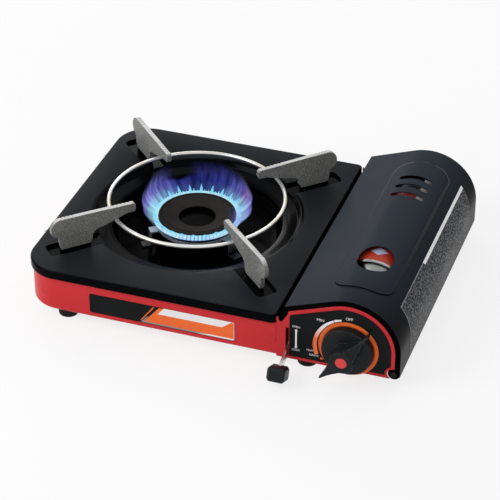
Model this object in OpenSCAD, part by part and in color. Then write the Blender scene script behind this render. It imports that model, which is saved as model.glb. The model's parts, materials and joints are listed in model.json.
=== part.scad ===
// Butane cassette stove: red pressed case, charcoal top plate with a burner well,
// hinged arched lid over the cartridge bay, ignition knob and cartridge lever.
// Millimetres. +X runs from the burner to the cartridge bay, +Y to the back, +Z up.
// The origin lies on the table, below the middle of the whole stove.

/* [Top plate] */
// Width of the top plate, left to right
plate_w = 238; // [232:1:246]
// Depth of the top plate, front to back
plate_d = 262; // [256:1:272]
// Height of the top plate's upper face above the table
plate_z = 52.7; // [51:0.1:54]
// Thickness of the top plate's sheet
plate_t = 1; // [0.8:0.1:1.2]
// Height of the plate's turned-down edge
skirt_h = 8; // [6:0.5:9]
// Corner radius of the plate away from the lid
corner_r = 32; // [24:1:34]
// Corner radius of the plate beside the lid
lid_corner_r = 5; // [4:0.5:8]
// Rounding of the plate's outer edge
edge_r = 2; // [1.5:0.1:2.5]
// Radius of the burner well at the plate's surface
well_r = 96; // [94:0.5:98]
// Depth of the step down to the well's ledge
well_drop = 6; // [5:0.5:7]
// Radius of the well's inner lip
lip_r = 79; // [77:0.5:81]

/* [Case] */
// Height of the case's lower edge above the table
case_z = 10; // [9:0.25:11]
// Thickness of the case's sheet
case_t = 1; // [0.8:0.1:1.2]
// Distance from the plate's edge in to the case's walls
case_inset = 2; // [1.6:0.1:2.4]
// Rounding where the case's walls meet its floor
case_fillet = 4; // [3:0.5:5]
// Width of the cartridge bay, from the plate to the lid's outer face
bay_w = 110; // [109:0.5:114]
// Height of the low wall under the lid
bay_wall_h = 14; // [10:1:20]
// Radius of a rubber foot
foot_r = 9; // [7:0.5:11]
// Distance of the front feet behind the plate's front edge
foot_inset = 16; // [14:1:22]

/* [Lid] */
// Radius of the lid's arch
lid_r = 45.5; // [45:0.1:46.5]
// Height of the arch's centre above the table
lid_z = 34; // [33:0.1:35]
// Slope of the lid's flat top, in degrees
lid_slope = 19.5; // [18:0.5:21]
// Thickness of the lid's sheet
lid_t = 0.8; // [0.6:0.1:1]
// How far the lid stands past the plate at the back
lid_over = 2; // [1.5:0.1:2.5]
// Distance from the lid's outer side in to the edge of the bay's faces
face_inset = 4.6; // [4.2:0.1:5]
// Height by which the pressed panel on the lid is raised
panel_lift = 1.2; // [0.8:0.1:1.6]
// Length of one vent slot in the lid
vent_l = 30; // [24:1:32]
// Width of one vent slot in the lid
vent_w = 5.5; // [4:0.5:6]
// Half width of the viewing window in the lid
window_r = 15; // [12:0.5:16]
// How much longer than wide the viewing window is
window_stretch = 8; // [4:1:10]
// Radius of the hinge ears on the lid's ends
ear_r = 5.4; // [5:0.1:5.8]

/* [Burner] */
// Radius of the burner head
head_r = 35.6; // [34:0.2:37]
// Radius of the dish in the middle of the burner head
dish_r = 16.3; // [14:0.1:18]
// Number of flame ports round the burner head
port_count = 48; // [40:1:56]
// Width of one flame port
port_w = 1.6; // [1.2:0.1:2]
// Height of the drip bowl's floor above the table
bowl_z = 27; // [26.5:0.1:28]
// Outer radius of the mixing tube
mixer_r = 6.8; // [6:0.1:7]

/* [Trivet] */
// Height of the trivet's legs above the top plate
trivet_h = 30.6; // [26:0.2:34]
// Radius of the trivet's ring
ring_r = 80.1; // [78:0.1:82]
// Radius of the trivet's wire
wire_r = 1.8; // [1.5:0.1:2.1]
// Thickness of a trivet leg
leg_t = 4.2; // [3.5:0.1:5]
// Distance from the burner's axis to a leg's inner tip
leg_in = 61; // [58:0.5:64]
// Distance from the burner's axis to a leg's outer end
leg_out = 142.5; // [140.5:0.5:143]
// Depth of the pockets that the trivet's feet stand in
pocket_d = 3; // [2:0.5:3.5]
// Width of those pockets
pocket_w = 20; // [18:0.5:21]

/* [Controls] */
// Radius of the knob's disc
knob_r = 22.3; // [21:0.1:24]
// Height of the knob's axis above the table
knob_z = 33.2; // [32.5:0.1:34]
// Radius of the knob's hub
hub_r = 10.6; // [9.5:0.1:11.5]
// How far the knob's hub stands in front of the plate's front edge
hub_reach = 21; // [18:0.5:22]
// Radius of the knob's spindle
spindle_r = 4; // [3.5:0.1:4.5]
// Outer radius of the dial ring behind the knob
dial_r = 26.5; // [25:0.5:27]
// Width of the lever's slot
slot_w = 3; // [2.8:0.1:3.4]
// Length of the lever's slot
slot_l = 30; // [28:1:31]
// Thickness of the lever's plate
lever_t = 2.4; // [2:0.1:2.6]
// How far the lever's grip stands in front of the plate's front edge
lever_reach = 32; // [30:1:36]
// Length of the lever's inner crank
crank_l = 14; // [13:0.5:15]

/* [Cartridge] */
// Radius of the cartridge's seams
seam_r = 33.6; // [33:0.1:33.8]
// Radius of the cartridge's painted wall
can_r = 32.8; // [32:0.1:33]
// Room between the cartridge's rear seam and the case's back face
can_room = 28; // [24:1:38]
// Thickness of the cartridge's wall
can_t = 0.4; // [0.3:0.05:0.6]

/* [Hidden] */
$fn = 96;

// Small amount by which joined shapes run into each other
eps = 0.01;
// Gap between pieces of different bodies that pass close by
gap = 0.3;
// Radial play of a shaft in its hole
play = 0.05;

// Colours
red = "#b8323a";
charcoal = "#2b2d31";
gloss_black = "#0c0c0e";
rubber_black = "#1a1a1b";
steel = "#9a9da0";
bright = "#d4d6d8";
brass = "#b08d4a";
orange = "#e8672f";
dark_iron = "#2e2b29";

// Main places
x0 = -(plate_w + bay_w) / 2;
y0 = (lever_reach - plate_d - lid_over) / 2;
x_bay = x0 + plate_w;
x_end = x_bay + bay_w;
y_back = y0 + plate_d;
burner_x = x0 + plate_w / 2;
burner_y = y0 + plate_d / 2;
lid_x = x_end - lid_r;
face_y = y0 + case_inset;
inner_y = face_y + case_t;
back_y = y_back - case_inset;
floor_z = case_z + case_t;
wall_top = plate_z - plate_t;

// Lid section
lip_x = x_bay + 2;
bevel_w = 5;
lip_z = 45.5;
bevel_foot_z = 50;
hinge_x = x_end - ear_r;
hinge_z = case_z + ear_r - 0.8;
lid_wall_z = hinge_z - 2.6;
band_w = face_inset + 0.8;
lid_y = inner_y + gap;
lid_back = y_back + lid_over;
lid_l = lid_back - lid_y;
notch_z = lip_z + 0.6;
slope_dir = [-cos(lid_slope), -sin(lid_slope)];
arch_c = [lid_x, lid_z];

// Where the lid's flat top meets the arch, for an inset of t
function tangent(t) = arch_c + (lid_r - t) * [-sin(lid_slope), cos(lid_slope)];
bevel_top = let (p = tangent(0), s = (p.x - lip_x - bevel_w) / cos(lid_slope)) p + s * slope_dir;
bevel_foot = [lip_x, bevel_foot_z];
bevel_dir = (bevel_foot - bevel_top) / norm(bevel_foot - bevel_top);
slope_in = [sin(lid_slope), -cos(lid_slope)];
bevel_in = [-bevel_dir.y, bevel_dir.x];
function bisect(a, b) = (a + b) / (1 + a * b);
function bevel_corner(t) = bevel_top + t * bisect(slope_in, bevel_in);
function foot_corner(t) = bevel_foot + t * bisect(bevel_in, [1, 0]);

// Panel, window and vents on the lid
panel_left = lip_x + 38;
panel_right = x_end - 18.4;
panel_front = y0 + 26.5;
panel_back = y0 + 240.5;
panel_corner_r = 15;
panel_mid = (panel_left + panel_right) / 2;
panel_half = (panel_right - panel_left) / 2;
window_x = lid_x + 2;
window_y = y0 + 72.2;
vent_pitch = 15;
vent_bend_r = 45;
vent_y = y0 + 181.5;
vent_count = 3;
label_front = y0 + 34;
label_back = y0 + 240;
label_t = 0.25;

// Burner and gas path
head_z = plate_z;
skirt_t = 2.2;
collar_z = head_z - 9;
stand_z = collar_z - 1.5;
stand_t = 1.2;
stand_leg_w = 9;
stand_angles = [95, 215, 335];
neck_r = 12;
bowl_t = 0.8;
mixer_z = bowl_z - bowl_t - mixer_r - gap;
neck_z = mixer_z + mixer_r + 0.2;
mixer_l = lip_r + 3;
mouth_x = burner_x + mixer_l;
pipe_r = 2.5;
pipe_bend = 7;
bowl_floor_r = 68;
bowl_hole_r = 14;
electrode_a = 65;
electrode_r = 44;
partition_x = x_bay - 2.6;
partition_t = 0.8;
pipe_y = face_y + 55;
pipe_z = 29;
pipe_drop_x = partition_x - 10;
lead_y = pipe_y + 7;
lead_z = 37;

// Trivet
post_z = plate_z - 0.5;
pocket_out = 146;
pocket_corner_r = 5;
foot_in = 106.2;
foot_out = 133.3;
ring_z = plate_z + 15.8;
lobe_r = 10;
leg_tilt = 1.3;
diagonals = [45, 135, 225, 315];

// Controls
knob_x = lid_x + 0.3;
knob_gap = 1;
panel_t = 0.4;
dial_t = 0.7;
disc_y = face_y - panel_t - dial_t - 0.5;
disc_h = 6.4;
knob_tip_r = knob_r + 5.7;
hub_h = hub_reach + disc_y - y0;
slot_x = x_bay + 10;
slot_z = case_z + 2;
pivot_y = face_y + 38;
pivot_z = case_z + 17;
pin_r = 2.5;
crank_pin_r = 2;
crank_lean = 15;
grip_size = [16, 17, 13.5];
grip_round = 3.5;
grip_tilt = 25;
grip_core = [grip_size.y / 2 - grip_round, grip_size.z / 2 - grip_round];
grip_y = y0 - lever_reach + grip_core.x * cos(grip_tilt) + grip_core.y * sin(grip_tilt) + grip_round;
grip_z = grip_core.x * sin(grip_tilt) + grip_core.y * cos(grip_tilt) + grip_round + 1.8;
arm_w = 7;
arm_run = pivot_y - grip_y;
arm_fall = pivot_z - grip_z;
arm_len = norm([arm_run, arm_fall]);
arm_a = atan2(arm_fall, arm_run);
crank_y = pivot_y - crank_l * sin(crank_lean);
crank_z = pivot_z + crank_l * cos(crank_lean);

// Cartridge
can_x = lid_x;
can_z = lid_z + lid_r - lid_t - seam_r - 1.5;
trough_r = seam_r + gap;
can_y = y0 + 72;
can_end = back_y - can_room;
can_l = can_end - can_y;
dome_h = 10;
collar_r = 16.5;
collar_h = 4.5;
stem_r = 2;
stem_l = 5;
travel_room = 8;
carriage_x = slot_x + 5;
carriage_t = 2;
bar_z = floor_z + gap;
bar_h = 12;
pusher_y = can_end + gap;
pusher_t = 1.5;
pusher_top = can_z + 12;
guide_l = 8;
reg_y = inner_y + 17;
cam_y = inner_y + 2;
cam_t = 3.5;
cam_reach = 22.8;
cam_arm_w = 5;

// ---------- Shared shapes ----------

function polar(r, a) = r * [cos(a), sin(a)];
// Points on an arc about c from angle a to angle b
function arc(c, r, a, b) = [for (i = [0:16]) c + polar(r, a + (b - a) * i / 16)];

// A flat shape drawn in x and z, with its thickness along Y from y
module along_y(y, t) translate([0, y + t, 0]) rotate([90, 0, 0]) linear_extrude(t) children();

// A flat shape drawn in y and z, with its thickness along X from x
module along_x(x, t) translate([x, 0, 0]) rotate([90, 0, 90]) linear_extrude(t) children();

// Round bar along X, Y or Z from a point
module bar_x(p, l, r) translate(p) rotate([0, 90, 0]) cylinder(h = l, r = r);
module bar_y(p, l, r) translate(p) rotate([-90, 0, 0]) cylinder(h = l, r = r);
module bar_z(p, l, r) translate(p) cylinder(h = l, r = r);

// Straight bar of radius r from point a to point b
module rod(a, b, r) {
    d = b - a;
    translate(a) rotate([0, acos(d.z / norm(d)), atan2(d.y, d.x)]) cylinder(h = norm(d), r = r);
}

// Cross-section of a slab's rim: r deep, h high, with its top outer edge rounded by e
module rim_section(r, h, e) {
    square([r - e, h]);
    square([r, h - e]);
    translate([r - e, h - e]) circle(e);
}

// Slab with rounded corners, rl on the left and rr on the right, and a rounded top edge e
module slab(w, d, h, rl, rr, e) {
    corners = [[rl, rl, rl, 180], [rl, d - rl, rl, 90], [w - rr, rr, rr, 270], [w - rr, d - rr, rr, 0]];
    for (c = corners) translate([c[0], c[1], 0]) rotate([0, 0, c[3]])
        rotate_extrude(angle = 90) rim_section(c[2], h, e);
    translate([rl, d - rl, 0]) rotate([90, 0, 0]) mirror([1, 0, 0])
        linear_extrude(d - 2 * rl) rim_section(rl, h, e);
    translate([w - rr, d - rr, 0]) rotate([90, 0, 0]) linear_extrude(d - 2 * rr) rim_section(rr, h, e);
    translate([rl, rl, 0]) rotate([90, 0, 90]) mirror([1, 0, 0])
        linear_extrude(w - rl - rr) rim_section(rl, h, e);
    translate([rl, d - rl, 0]) rotate([90, 0, 90]) linear_extrude(w - rl - rr) rim_section(rl, h, e);
    translate([rl - 1, rl - 1, 0]) cube([w - rl - rr + 2, d - 2 * rl + 2, h]);
}

// Slot shape with round ends, from distance a to b along x and w wide
module stadium(a, b, w) {
    translate([a + w / 2, -w / 2]) square([b - a - w, w]);
    translate([a + w / 2, 0]) circle(w / 2);
    translate([b - w / 2, 0]) circle(w / 2);
}

// Everything inside the lid's outline inset by t, in x and z, down to height low
module lid_inside(t, low) {
    intersection() {
        union() {
            polygon([
                tangent(t), bevel_corner(t), foot_corner(t), [lip_x + t, low], [x_end - t, low],
                [x_end - t, lid_z], arch_c
            ]);
            translate(arch_c) circle(lid_r - t);
        }
        translate([lip_x, low]) square([x_end - lip_x, lid_z + lid_r + 5 - low]);
    }
}

// ---------- Case ----------

// Outline of the faces in front of and behind the cartridge bay
module bay_face() {
    strip_x = x_bay + gap;
    difference() {
        union() {
            lid_inside(face_inset, case_z);
            translate([strip_x, case_z]) square([lip_x + face_inset + 1 - strip_x, plate_z - 1.9 - case_z]);
        }
        // V-shaped notch in front of the lid's lip
        polygon([
            [lip_x - 0.2, plate_z + 20], [lip_x - 0.2, plate_z - 2.6], [lip_x + 0.2, notch_z + 1.6],
            [lip_x + 1.8, notch_z], [lip_x + 3.7, notch_z + 1.3], [lip_x + 8.6, notch_z + 9.9],
            [lip_x + 10, plate_z + 20]
        ]);
        // Notch round the hinge ear
        translate([hinge_x, hinge_z]) circle(ear_r + gap);
        translate([hinge_x - 2, case_z - 1]) square([ear_r + 10, hinge_z - case_z + 1]);
    }
}

// Slot in the back face for the lid's lip, which swings up and inward
module lip_slot() translate([lip_x - gap, lip_z - gap]) square([lid_t + 3 * gap, plate_z - lip_z]);

module body_case() {
    w = x_end - 12 - x0 - case_inset;
    d = plate_d - 2 * case_inset;
    h = wall_top - case_z;
    r = corner_r - case_inset;
    lid_side_r = 2 * case_fillet + 1;
    color(red) difference() {
        union() {
            difference() {
                translate([x0 + case_inset, face_y, wall_top]) mirror([0, 0, 1])
                    slab(w, d, h, r, lid_side_r, case_fillet);
                translate([x0 + case_inset + case_t, inner_y, wall_top + eps]) mirror([0, 0, 1])
                    slab(w - 2 * case_t, d - 2 * case_t, h - case_t + eps, r - case_t, lid_side_r - case_t,
                         case_fillet - case_t);
                // Low side wall under the lid
                translate([x_bay, face_y - 1, floor_z + bay_wall_h]) cube([bay_w, d + 2, h]);
                // Room for the turned-down edge on the plate's right side
                translate([x_bay - lid_corner_r, face_y - 1, plate_z - skirt_h - gap])
                    cube([lid_corner_r + gap, d + 2, h]);
            }
            along_y(face_y, case_t) bay_face();
            along_y(back_y - case_t, case_t) difference() {
                bay_face();
                lip_slot();
            }
            // Trough under the cartridge
            intersection() {
                bar_y([can_x, can_y - 4, can_z], can_l + 20, trough_r + case_t);
                translate([can_x - 30, can_y - 4, case_z - 5]) cube([60, can_l + 20, case_t + 5 - eps]);
            }
        }
        bar_y([can_x, can_y - 4 - eps, can_z], can_l + 20 + 2 * eps, trough_r);
        // Slot for the lever
        translate([slot_x - slot_w / 2, face_y - 1, slot_z]) cube([slot_w, case_t + 2, slot_l]);
        // Hole for the spindle
        bar_y([knob_x, face_y - 1, knob_z], case_t + 2, spindle_r + 2);
        // Holes for the feet's plugs
        for (p = foot_places) bar_z([p.x, p.y, case_z - 1], case_t + 2, foot_plug_r + play);
        // Holes for the screws of the top plate
        for (p = screw_places) screw_hole(p);
        // Air slots in the floor
        for (i = [-3:3]) translate([burner_x + 12 * i, burner_y, case_z - 1]) linear_extrude(case_t + 2)
            rotate([0, 0, 90]) stadium(-70, -36, 3);
        // Air slots in the back wall
        for (i = [0:6]) translate([burner_x - 60 + 20 * i, back_y - case_t - 1, floor_z + 14])
            rotate([-90, 0, 0]) linear_extrude(case_t + 2) stadium(-7, 7, 3);
    }
}

foot_plug_r = 3;
foot_round = 2;
foot_left_x = x0 + 38.5;
foot_right_x = x_bay + 24.5;
foot_places = [
    [foot_left_x, y0 + foot_inset], [foot_right_x, y0 + foot_inset],
    [foot_left_x, y_back - foot_inset], [foot_right_x, y_back - foot_inset]
];

// Rubber foot with a plug through the case's floor
module foot(p) {
    color(rubber_black) translate([p.x, p.y, 0]) rotate_extrude() {
        square([foot_r - foot_round, foot_round]);
        translate([foot_r - foot_round, foot_round]) circle(foot_round);
        translate([0, foot_round]) square([foot_r, case_z - foot_round]);
        translate([0, case_z - 2]) square([foot_plug_r, case_t + 3.5]);
        translate([0, floor_z + play]) square([foot_plug_r + 1.2, 1.4]);
    }
}
module foot_front_left() foot(foot_places[0]);
module foot_front_right() foot(foot_places[1]);
module foot_back_left() foot(foot_places[2]);
module foot_back_right() foot(foot_places[3]);

// Screws through the plate's turned-down edge: place and outward direction
screw_r = 1.5;
screw_head_r = 3.2;
screw_z = plate_z - skirt_h / 2 - 0.4;
screw_places = [
    [x0, burner_y - 70, 180], [x0, burner_y + 70, 180],
    [burner_x - 65, y_back, 90], [burner_x + 65, y_back, 90]
];
module screw_hole(p) {
    translate([p.x, p.y, screw_z]) rotate([0, 0, p[2]]) bar_x([-6, 0, 0], 7, screw_r + play);
}
module plate_screws() {
    color(steel) for (p = screw_places) translate([p.x, p.y, screw_z]) rotate([0, 0, p[2]]) difference() {
        union() {
            bar_x([-5, 0, 0], 5 + eps, screw_r);
            bar_x([0, 0, 0], 1.2, screw_head_r);
            bar_x([1.2 - eps, 0, 0], 0.6, screw_head_r - 0.6);
        }
        translate([1, -0.35, -2.2]) cube([2, 0.7, 4.4]);
        translate([1, -2.2, -0.35]) cube([2, 4.4, 0.7]);
    }
}

// ---------- Top plate and bowl ----------

// Upper side of the sheet from the plate down into the well: radius and height
well_path = [
    [well_r + 2, 0], [well_r, 0], [well_r - 1, -0.4], [well_r - 1.8, -1.3], [well_r - 3.6, -well_drop + 1.2],
    [well_r - 4.4, -well_drop + 0.3], [well_r - 5.4, -well_drop], [lip_r + 7, -well_drop - 0.4],
    [lip_r, -well_drop - 2.2], [lip_r - 0.9, -well_drop - 3], [lip_r - 1, -well_drop - 6]
];
function under(p, t) = p + 0.8 * t * [1, -1];
function reversed(list) = [for (i = [len(list) - 1:-1:0]) list[i]];

// Rectangle with round corners along x from a to b, and w wide
module pocket_shape(a, b, w, r) {
    translate([a, -w / 2 + r]) square([b - a, w - 2 * r]);
    translate([a, -w / 2]) square([b - a - r, w]);
    for (s = [-1, 1]) translate([b - r, s * (w / 2 - r)]) circle(r);
}

// Child shapes at a pocket's floor, on the four diagonals
module at_pockets() {
    for (a = diagonals) translate([burner_x, burner_y, plate_z - pocket_d]) rotate([0, 0, a]) children();
}

module top_plate() {
    wall_r = well_r - 3.1;
    color(charcoal) {
        difference() {
            union() {
                difference() {
                    union() {
                        translate([x0, y0, plate_z - skirt_h]) difference() {
                            slab(plate_w, plate_d, skirt_h, corner_r, lid_corner_r, edge_r);
                            translate([plate_t, plate_t, -eps])
                                slab(plate_w - 2 * plate_t, plate_d - 2 * plate_t, skirt_h - plate_t + eps,
                                     corner_r - plate_t, lid_corner_r - plate_t, edge_r - plate_t);
                        }
                        at_pockets() translate([0, 0, -plate_t]) linear_extrude(pocket_d + plate_t / 2)
                            pocket_shape(well_r, pocket_out + plate_t, pocket_w + 2 * plate_t,
                                         pocket_corner_r + plate_t);
                    }
                    bar_z([burner_x, burner_y, plate_z - pocket_d - 3], pocket_d + 4, well_r + 1);
                }
                translate([burner_x, burner_y, plate_z]) rotate_extrude()
                    polygon(concat(well_path, reversed([for (p = well_path) under(p, plate_t)])));
                // Floor of each pocket where it runs out into the well
                at_pockets() translate([wall_r, -pocket_w / 2 - plate_t, -plate_t])
                    cube([well_r + 2 - wall_r, pocket_w + 2 * plate_t, plate_t]);
            }
            at_pockets() linear_extrude(pocket_d + 1)
                pocket_shape(well_r - 8, pocket_out, pocket_w, pocket_corner_r);
            for (p = screw_places) screw_hole(p);
        }
        // Ribs in the pockets that carry the trivet's feet
        at_pockets() translate([foot_in - 1, -leg_t * 0.35, -eps])
            cube([foot_out - foot_in + 2, leg_t * 0.7, post_z - plate_z + pocket_d + eps]);
    }
}

bowl_rim_z = plate_z - well_drop - 0.4 - 0.8 * plate_t - 0.1;
bowl_path = [
    [lip_r + 11, bowl_rim_z], [lip_r + 8, bowl_rim_z], [lip_r + 4, bowl_rim_z - 6],
    [lip_r - 1, bowl_rim_z - 9.5], [lip_r - 5, bowl_z + 3], [lip_r - 8, bowl_z + 0.6],
    [bowl_floor_r, bowl_z], [bowl_hole_r, bowl_z]
];

module drip_bowl() {
    color(gloss_black) difference() {
        translate([burner_x, burner_y, 0]) rotate_extrude() difference() {
            polygon(concat(bowl_path, reversed([for (p = bowl_path) p + bowl_t * [0.6, -1]])));
            translate([0, bowl_z - 2]) square([bowl_hole_r, 4]);
        }
        translate([burner_x, burner_y, 0]) rotate([0, 0, electrode_a])
            bar_z([electrode_r, 0, bowl_z - 2], 4, 3 + play);
    }
}

// Upright sheet between the burner and the cartridge
module bay_partition() {
    h = wall_top - floor_z;
    color(steel) difference() {
        translate([partition_x, inner_y, floor_z]) cube([partition_t, back_y - inner_y - case_t, h]);
        bar_x([partition_x - 1, pipe_y, pipe_z], partition_t + 2, pipe_r + 1);
        bar_x([partition_x - 1, lead_y, lead_z], partition_t + 2, 2);
        for (i = [0:8]) translate([partition_x - 1, burner_y - 40 + 10 * i, floor_z + 8])
            rotate([90, 0, 90]) linear_extrude(partition_t + 2) rotate([0, 0, 90]) stadium(0, 20, 3);
    }
}

// Brackets inside the case's faces that carry the lid's hinge pins
bracket_t = 1.5;
bracket_r = 4;
bracket_foot = [knob_x + cam_reach + gap + 1, x_end - 15];
bracket_z = [floor_z + bay_wall_h + 1, floor_z + bay_wall_h + 11];
front_bracket_y = lid_y + lid_t + gap;
back_bracket_y = back_y - case_t - bracket_t;
pin_shaft_r = 1.5;
pin_hole_r = pin_shaft_r + play;
module hinge_lug() {
    difference() {
        union() {
            translate([hinge_x, hinge_z]) circle(bracket_r);
            polygon([
                [bracket_foot[0], bracket_z[0]], [bracket_foot[1] + 1.5, bracket_z[0]],
                [hinge_x - bracket_r, hinge_z], [hinge_x + 3, hinge_z], [hinge_x + 3, bracket_z[1] - 6],
                [bracket_foot[1] + 4, bracket_z[1]], [bracket_foot[0], bracket_z[1]]
            ]);
        }
        translate([hinge_x, hinge_z]) circle(pin_hole_r);
    }
}
module hinge_brackets() {
    color(steel) {
        along_y(front_bracket_y, bracket_t) hinge_lug();
        along_y(back_bracket_y, bracket_t) hinge_lug();
        // Foot that joins the front bracket to the back of the case's face
        translate([bracket_foot[0], inner_y, bracket_z[0]]) cube([
            bracket_foot[1] - bracket_foot[0], front_bracket_y - inner_y + eps, bracket_z[1] - bracket_z[0]
        ]);
    }
}
// Pin through the lid's ear and a bracket, from y a to y b
module hinge_pin(a, b) {
    bar_y([hinge_x, a - 0.3, hinge_z], b - a + 0.6, pin_shaft_r);
    for (y = [a - 1.1, b + 0.2]) bar_y([hinge_x, y, hinge_z], 0.9, pin_shaft_r + 1);
}
module hinge_pins() {
    color(bright) {
        hinge_pin(lid_y, front_bracket_y + bracket_t);
        hinge_pin(back_bracket_y, lid_back);
    }
}

// ---------- Front panel ----------

badge_t = 0.3;
badge_x = x0 + 65.5;
badge_z = case_z + 6.2;
badge_w = 135;
badge_h = 19.6;
module front_badge() {
    color(gloss_black) translate([badge_x, face_y, badge_z]) rotate([90, 0, 0]) linear_extrude(badge_t) {
        translate([1.5, 0]) square([badge_w - 3, badge_h]);
        translate([0, 1.5]) square([badge_w, badge_h - 3]);
        for (x = [1.5, badge_w - 1.5], y = [1.5, badge_h - 1.5]) translate([x, y]) circle(1.5);
    }
}

module control_panel() {
    color(gloss_black) along_y(face_y - panel_t, panel_t) difference() {
        intersection() {
            lid_inside(face_inset + 3.3, case_z + 3.2);
            translate([slot_x + 2, 0]) square([bay_w, 100]);
        }
        translate([hinge_x, hinge_z]) circle(ear_r + 2.4);
        translate([hinge_x - 2, 0]) square([ear_r + 10, hinge_z]);
        translate([knob_x, knob_z]) circle(spindle_r + 2);
    }
}

module dial_ring() {
    color(orange) difference() {
        bar_y([knob_x, face_y - panel_t - dial_t, knob_z], dial_t, dial_r);
        bar_y([knob_x, face_y - panel_t - dial_t - 1, knob_z], dial_t + 2, dial_r - 6);
    }
}

// ---------- Burner ----------

module burner_body() {
    wall_r = head_r - skirt_t - 0.4;
    color(steel) translate([burner_x, burner_y, 0]) rotate_extrude() {
        polygon([
            [neck_r, neck_z], [neck_r, bowl_z + 3], [20, bowl_z + 6], [wall_r, collar_z - 4],
            [wall_r, collar_z + 1.5], [wall_r - 2, collar_z + 1.5], [wall_r - 2, collar_z - 3],
            [19, bowl_z + 8], [neck_r - 2.5, bowl_z + 4.5], [neck_r - 2.5, neck_z]
        ]);
        translate([wall_r - 1, stand_z]) square([head_r + 1.4 - wall_r + 1, collar_z - stand_z]);
    }
}

module burner_head() {
    in_r = head_r - skirt_t;
    color(dark_iron) translate([burner_x, burner_y, head_z]) difference() {
        rotate_extrude() polygon([
            [head_r, -1.2], [head_r - 0.4, -0.3], [head_r - 1.2, 0], [head_r - 2.4, 0], [head_r - 2.8, -0.7],
            [head_r - 3.8, -0.7], [head_r - 4.3, 0], [head_r - 6, -0.2], [(head_r + dish_r) / 2, -1.5],
            [dish_r + 1.5, -3.2], [dish_r + 0.4, -3.8], [dish_r, -4.6], [dish_r, -7.7], [0, -7.7], [0, -9.2],
            [dish_r + 1.5, -9.2], [dish_r + 1.5, -5.4], [in_r - 4, -2.4], [in_r, -2], [in_r, -9], [head_r, -9]
        ]);
        for (i = [0:port_count - 1]) rotate([0, 0, i * 360 / port_count])
            translate([in_r - 1, -port_w / 2, -6.6]) cube([skirt_t + 2, port_w, 3.8]);
    }
}

module burner_stand() {
    top = stand_z;
    leg_r = head_r + 9.5;
    color("#8e9092") translate([burner_x, burner_y, 0]) {
        translate([0, 0, top - stand_t]) difference() {
            cylinder(h = stand_t, r = head_r + 1.6);
            translate([0, 0, -1]) cylinder(h = stand_t + 2, r = head_r - skirt_t - 0.1);
        }
        for (a = stand_angles) rotate([0, 0, a]) translate([0, -stand_leg_w / 2, 0]) {
            translate([head_r + 1, 0, top - stand_t]) cube([leg_r - head_r - 1, stand_leg_w, stand_t]);
            translate([leg_r - stand_t, 0, bowl_z]) cube([stand_t, stand_leg_w, top - bowl_z]);
            translate([leg_r - stand_t, 0, bowl_z]) cube([9, stand_leg_w, stand_t]);
        }
    }
}

module mixing_tube() {
    color(steel) difference() {
        union() {
            bar_z([burner_x, burner_y, floor_z + gap], neck_z - floor_z - gap, neck_r);
            bar_x([burner_x, burner_y, mixer_z], mixer_l, mixer_r);
        }
        bar_z([burner_x, burner_y, floor_z + 1.5], neck_z, neck_r - 2.5);
        bar_x([burner_x, burner_y, mixer_z], mixer_l + 1, mixer_r - 1.4);
    }
}

module air_shutter() {
    color(steel) difference() {
        bar_x([mouth_x - 10, burner_y, mixer_z], 9, mixer_r + 0.7);
        bar_x([mouth_x - 11, burner_y, mixer_z], 11, mixer_r + 0.06);
        translate([mouth_x - 8, burner_y - 3, mixer_z]) cube([5, 6, 20]);
    }
}

// Jet that points into the mixing tube, on a block that takes the gas pipe
module gas_jet() {
    color(brass) difference() {
        union() {
            bar_x([mouth_x - 2, burner_y, mixer_z], 5, 2.6);
            bar_x([mouth_x + 3 - eps, burner_y, mixer_z], 3, 4.5, $fn = 6);
            bar_x([mouth_x + 6 - 2 * eps, burner_y, mixer_z], 4, 3.4);
            translate([mouth_x + 9, burner_y - 4.5, mixer_z - 4.5]) cube([8, 9, pipe_z - mixer_z + 9]);
        }
        bar_x([mouth_x - 3, burner_y, mixer_z], 17, 0.6);
        bar_z([mouth_x + 13, burner_y, mixer_z], pipe_z - mixer_z, 1.5);
        bar_x([mouth_x + 14, burner_y, pipe_z], 4, pipe_r + play);
    }
}

module jet_bracket() {
    color(steel) difference() {
        union() {
            translate([mouth_x + 6.6, burner_y - 10, floor_z]) cube([1.2, 20, 2 * mixer_r + 3]);
            translate([mouth_x + 6.6, burner_y - 10, floor_z]) cube([12, 20, 1.2]);
        }
        bar_x([mouth_x + 6, burner_y, mixer_z], 4, 3.4 + play);
    }
}

// Bend of the gas pipe, a ring part flat in XY that starts at angle a
module pipe_elbow(p, a) {
    translate(p) rotate([0, 0, a]) rotate_extrude(angle = 90) translate([pipe_bend, 0]) circle(pipe_r);
}

module gas_pipe() {
    start = [can_x - 12, reg_y + 20, pipe_z];
    last_x = pipe_drop_x - pipe_bend;
    color(bright) {
        bar_y(start, pipe_y - pipe_bend - start.y, pipe_r);
        pipe_elbow([start.x - pipe_bend, pipe_y - pipe_bend, pipe_z], 0);
        bar_x([pipe_drop_x + pipe_bend, pipe_y, pipe_z], start.x - pipe_drop_x - 2 * pipe_bend, pipe_r);
        pipe_elbow([pipe_drop_x + pipe_bend, pipe_y + pipe_bend, pipe_z], 180);
        bar_y([pipe_drop_x, pipe_y + pipe_bend, pipe_z], burner_y - pipe_y - 2 * pipe_bend, pipe_r);
        pipe_elbow([last_x, burner_y - pipe_bend, pipe_z], 0);
        bar_x([mouth_x + 14, burner_y, pipe_z], last_x - mouth_x - 14, pipe_r);
    }
}

// ---------- Regulator and igniter ----------

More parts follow.
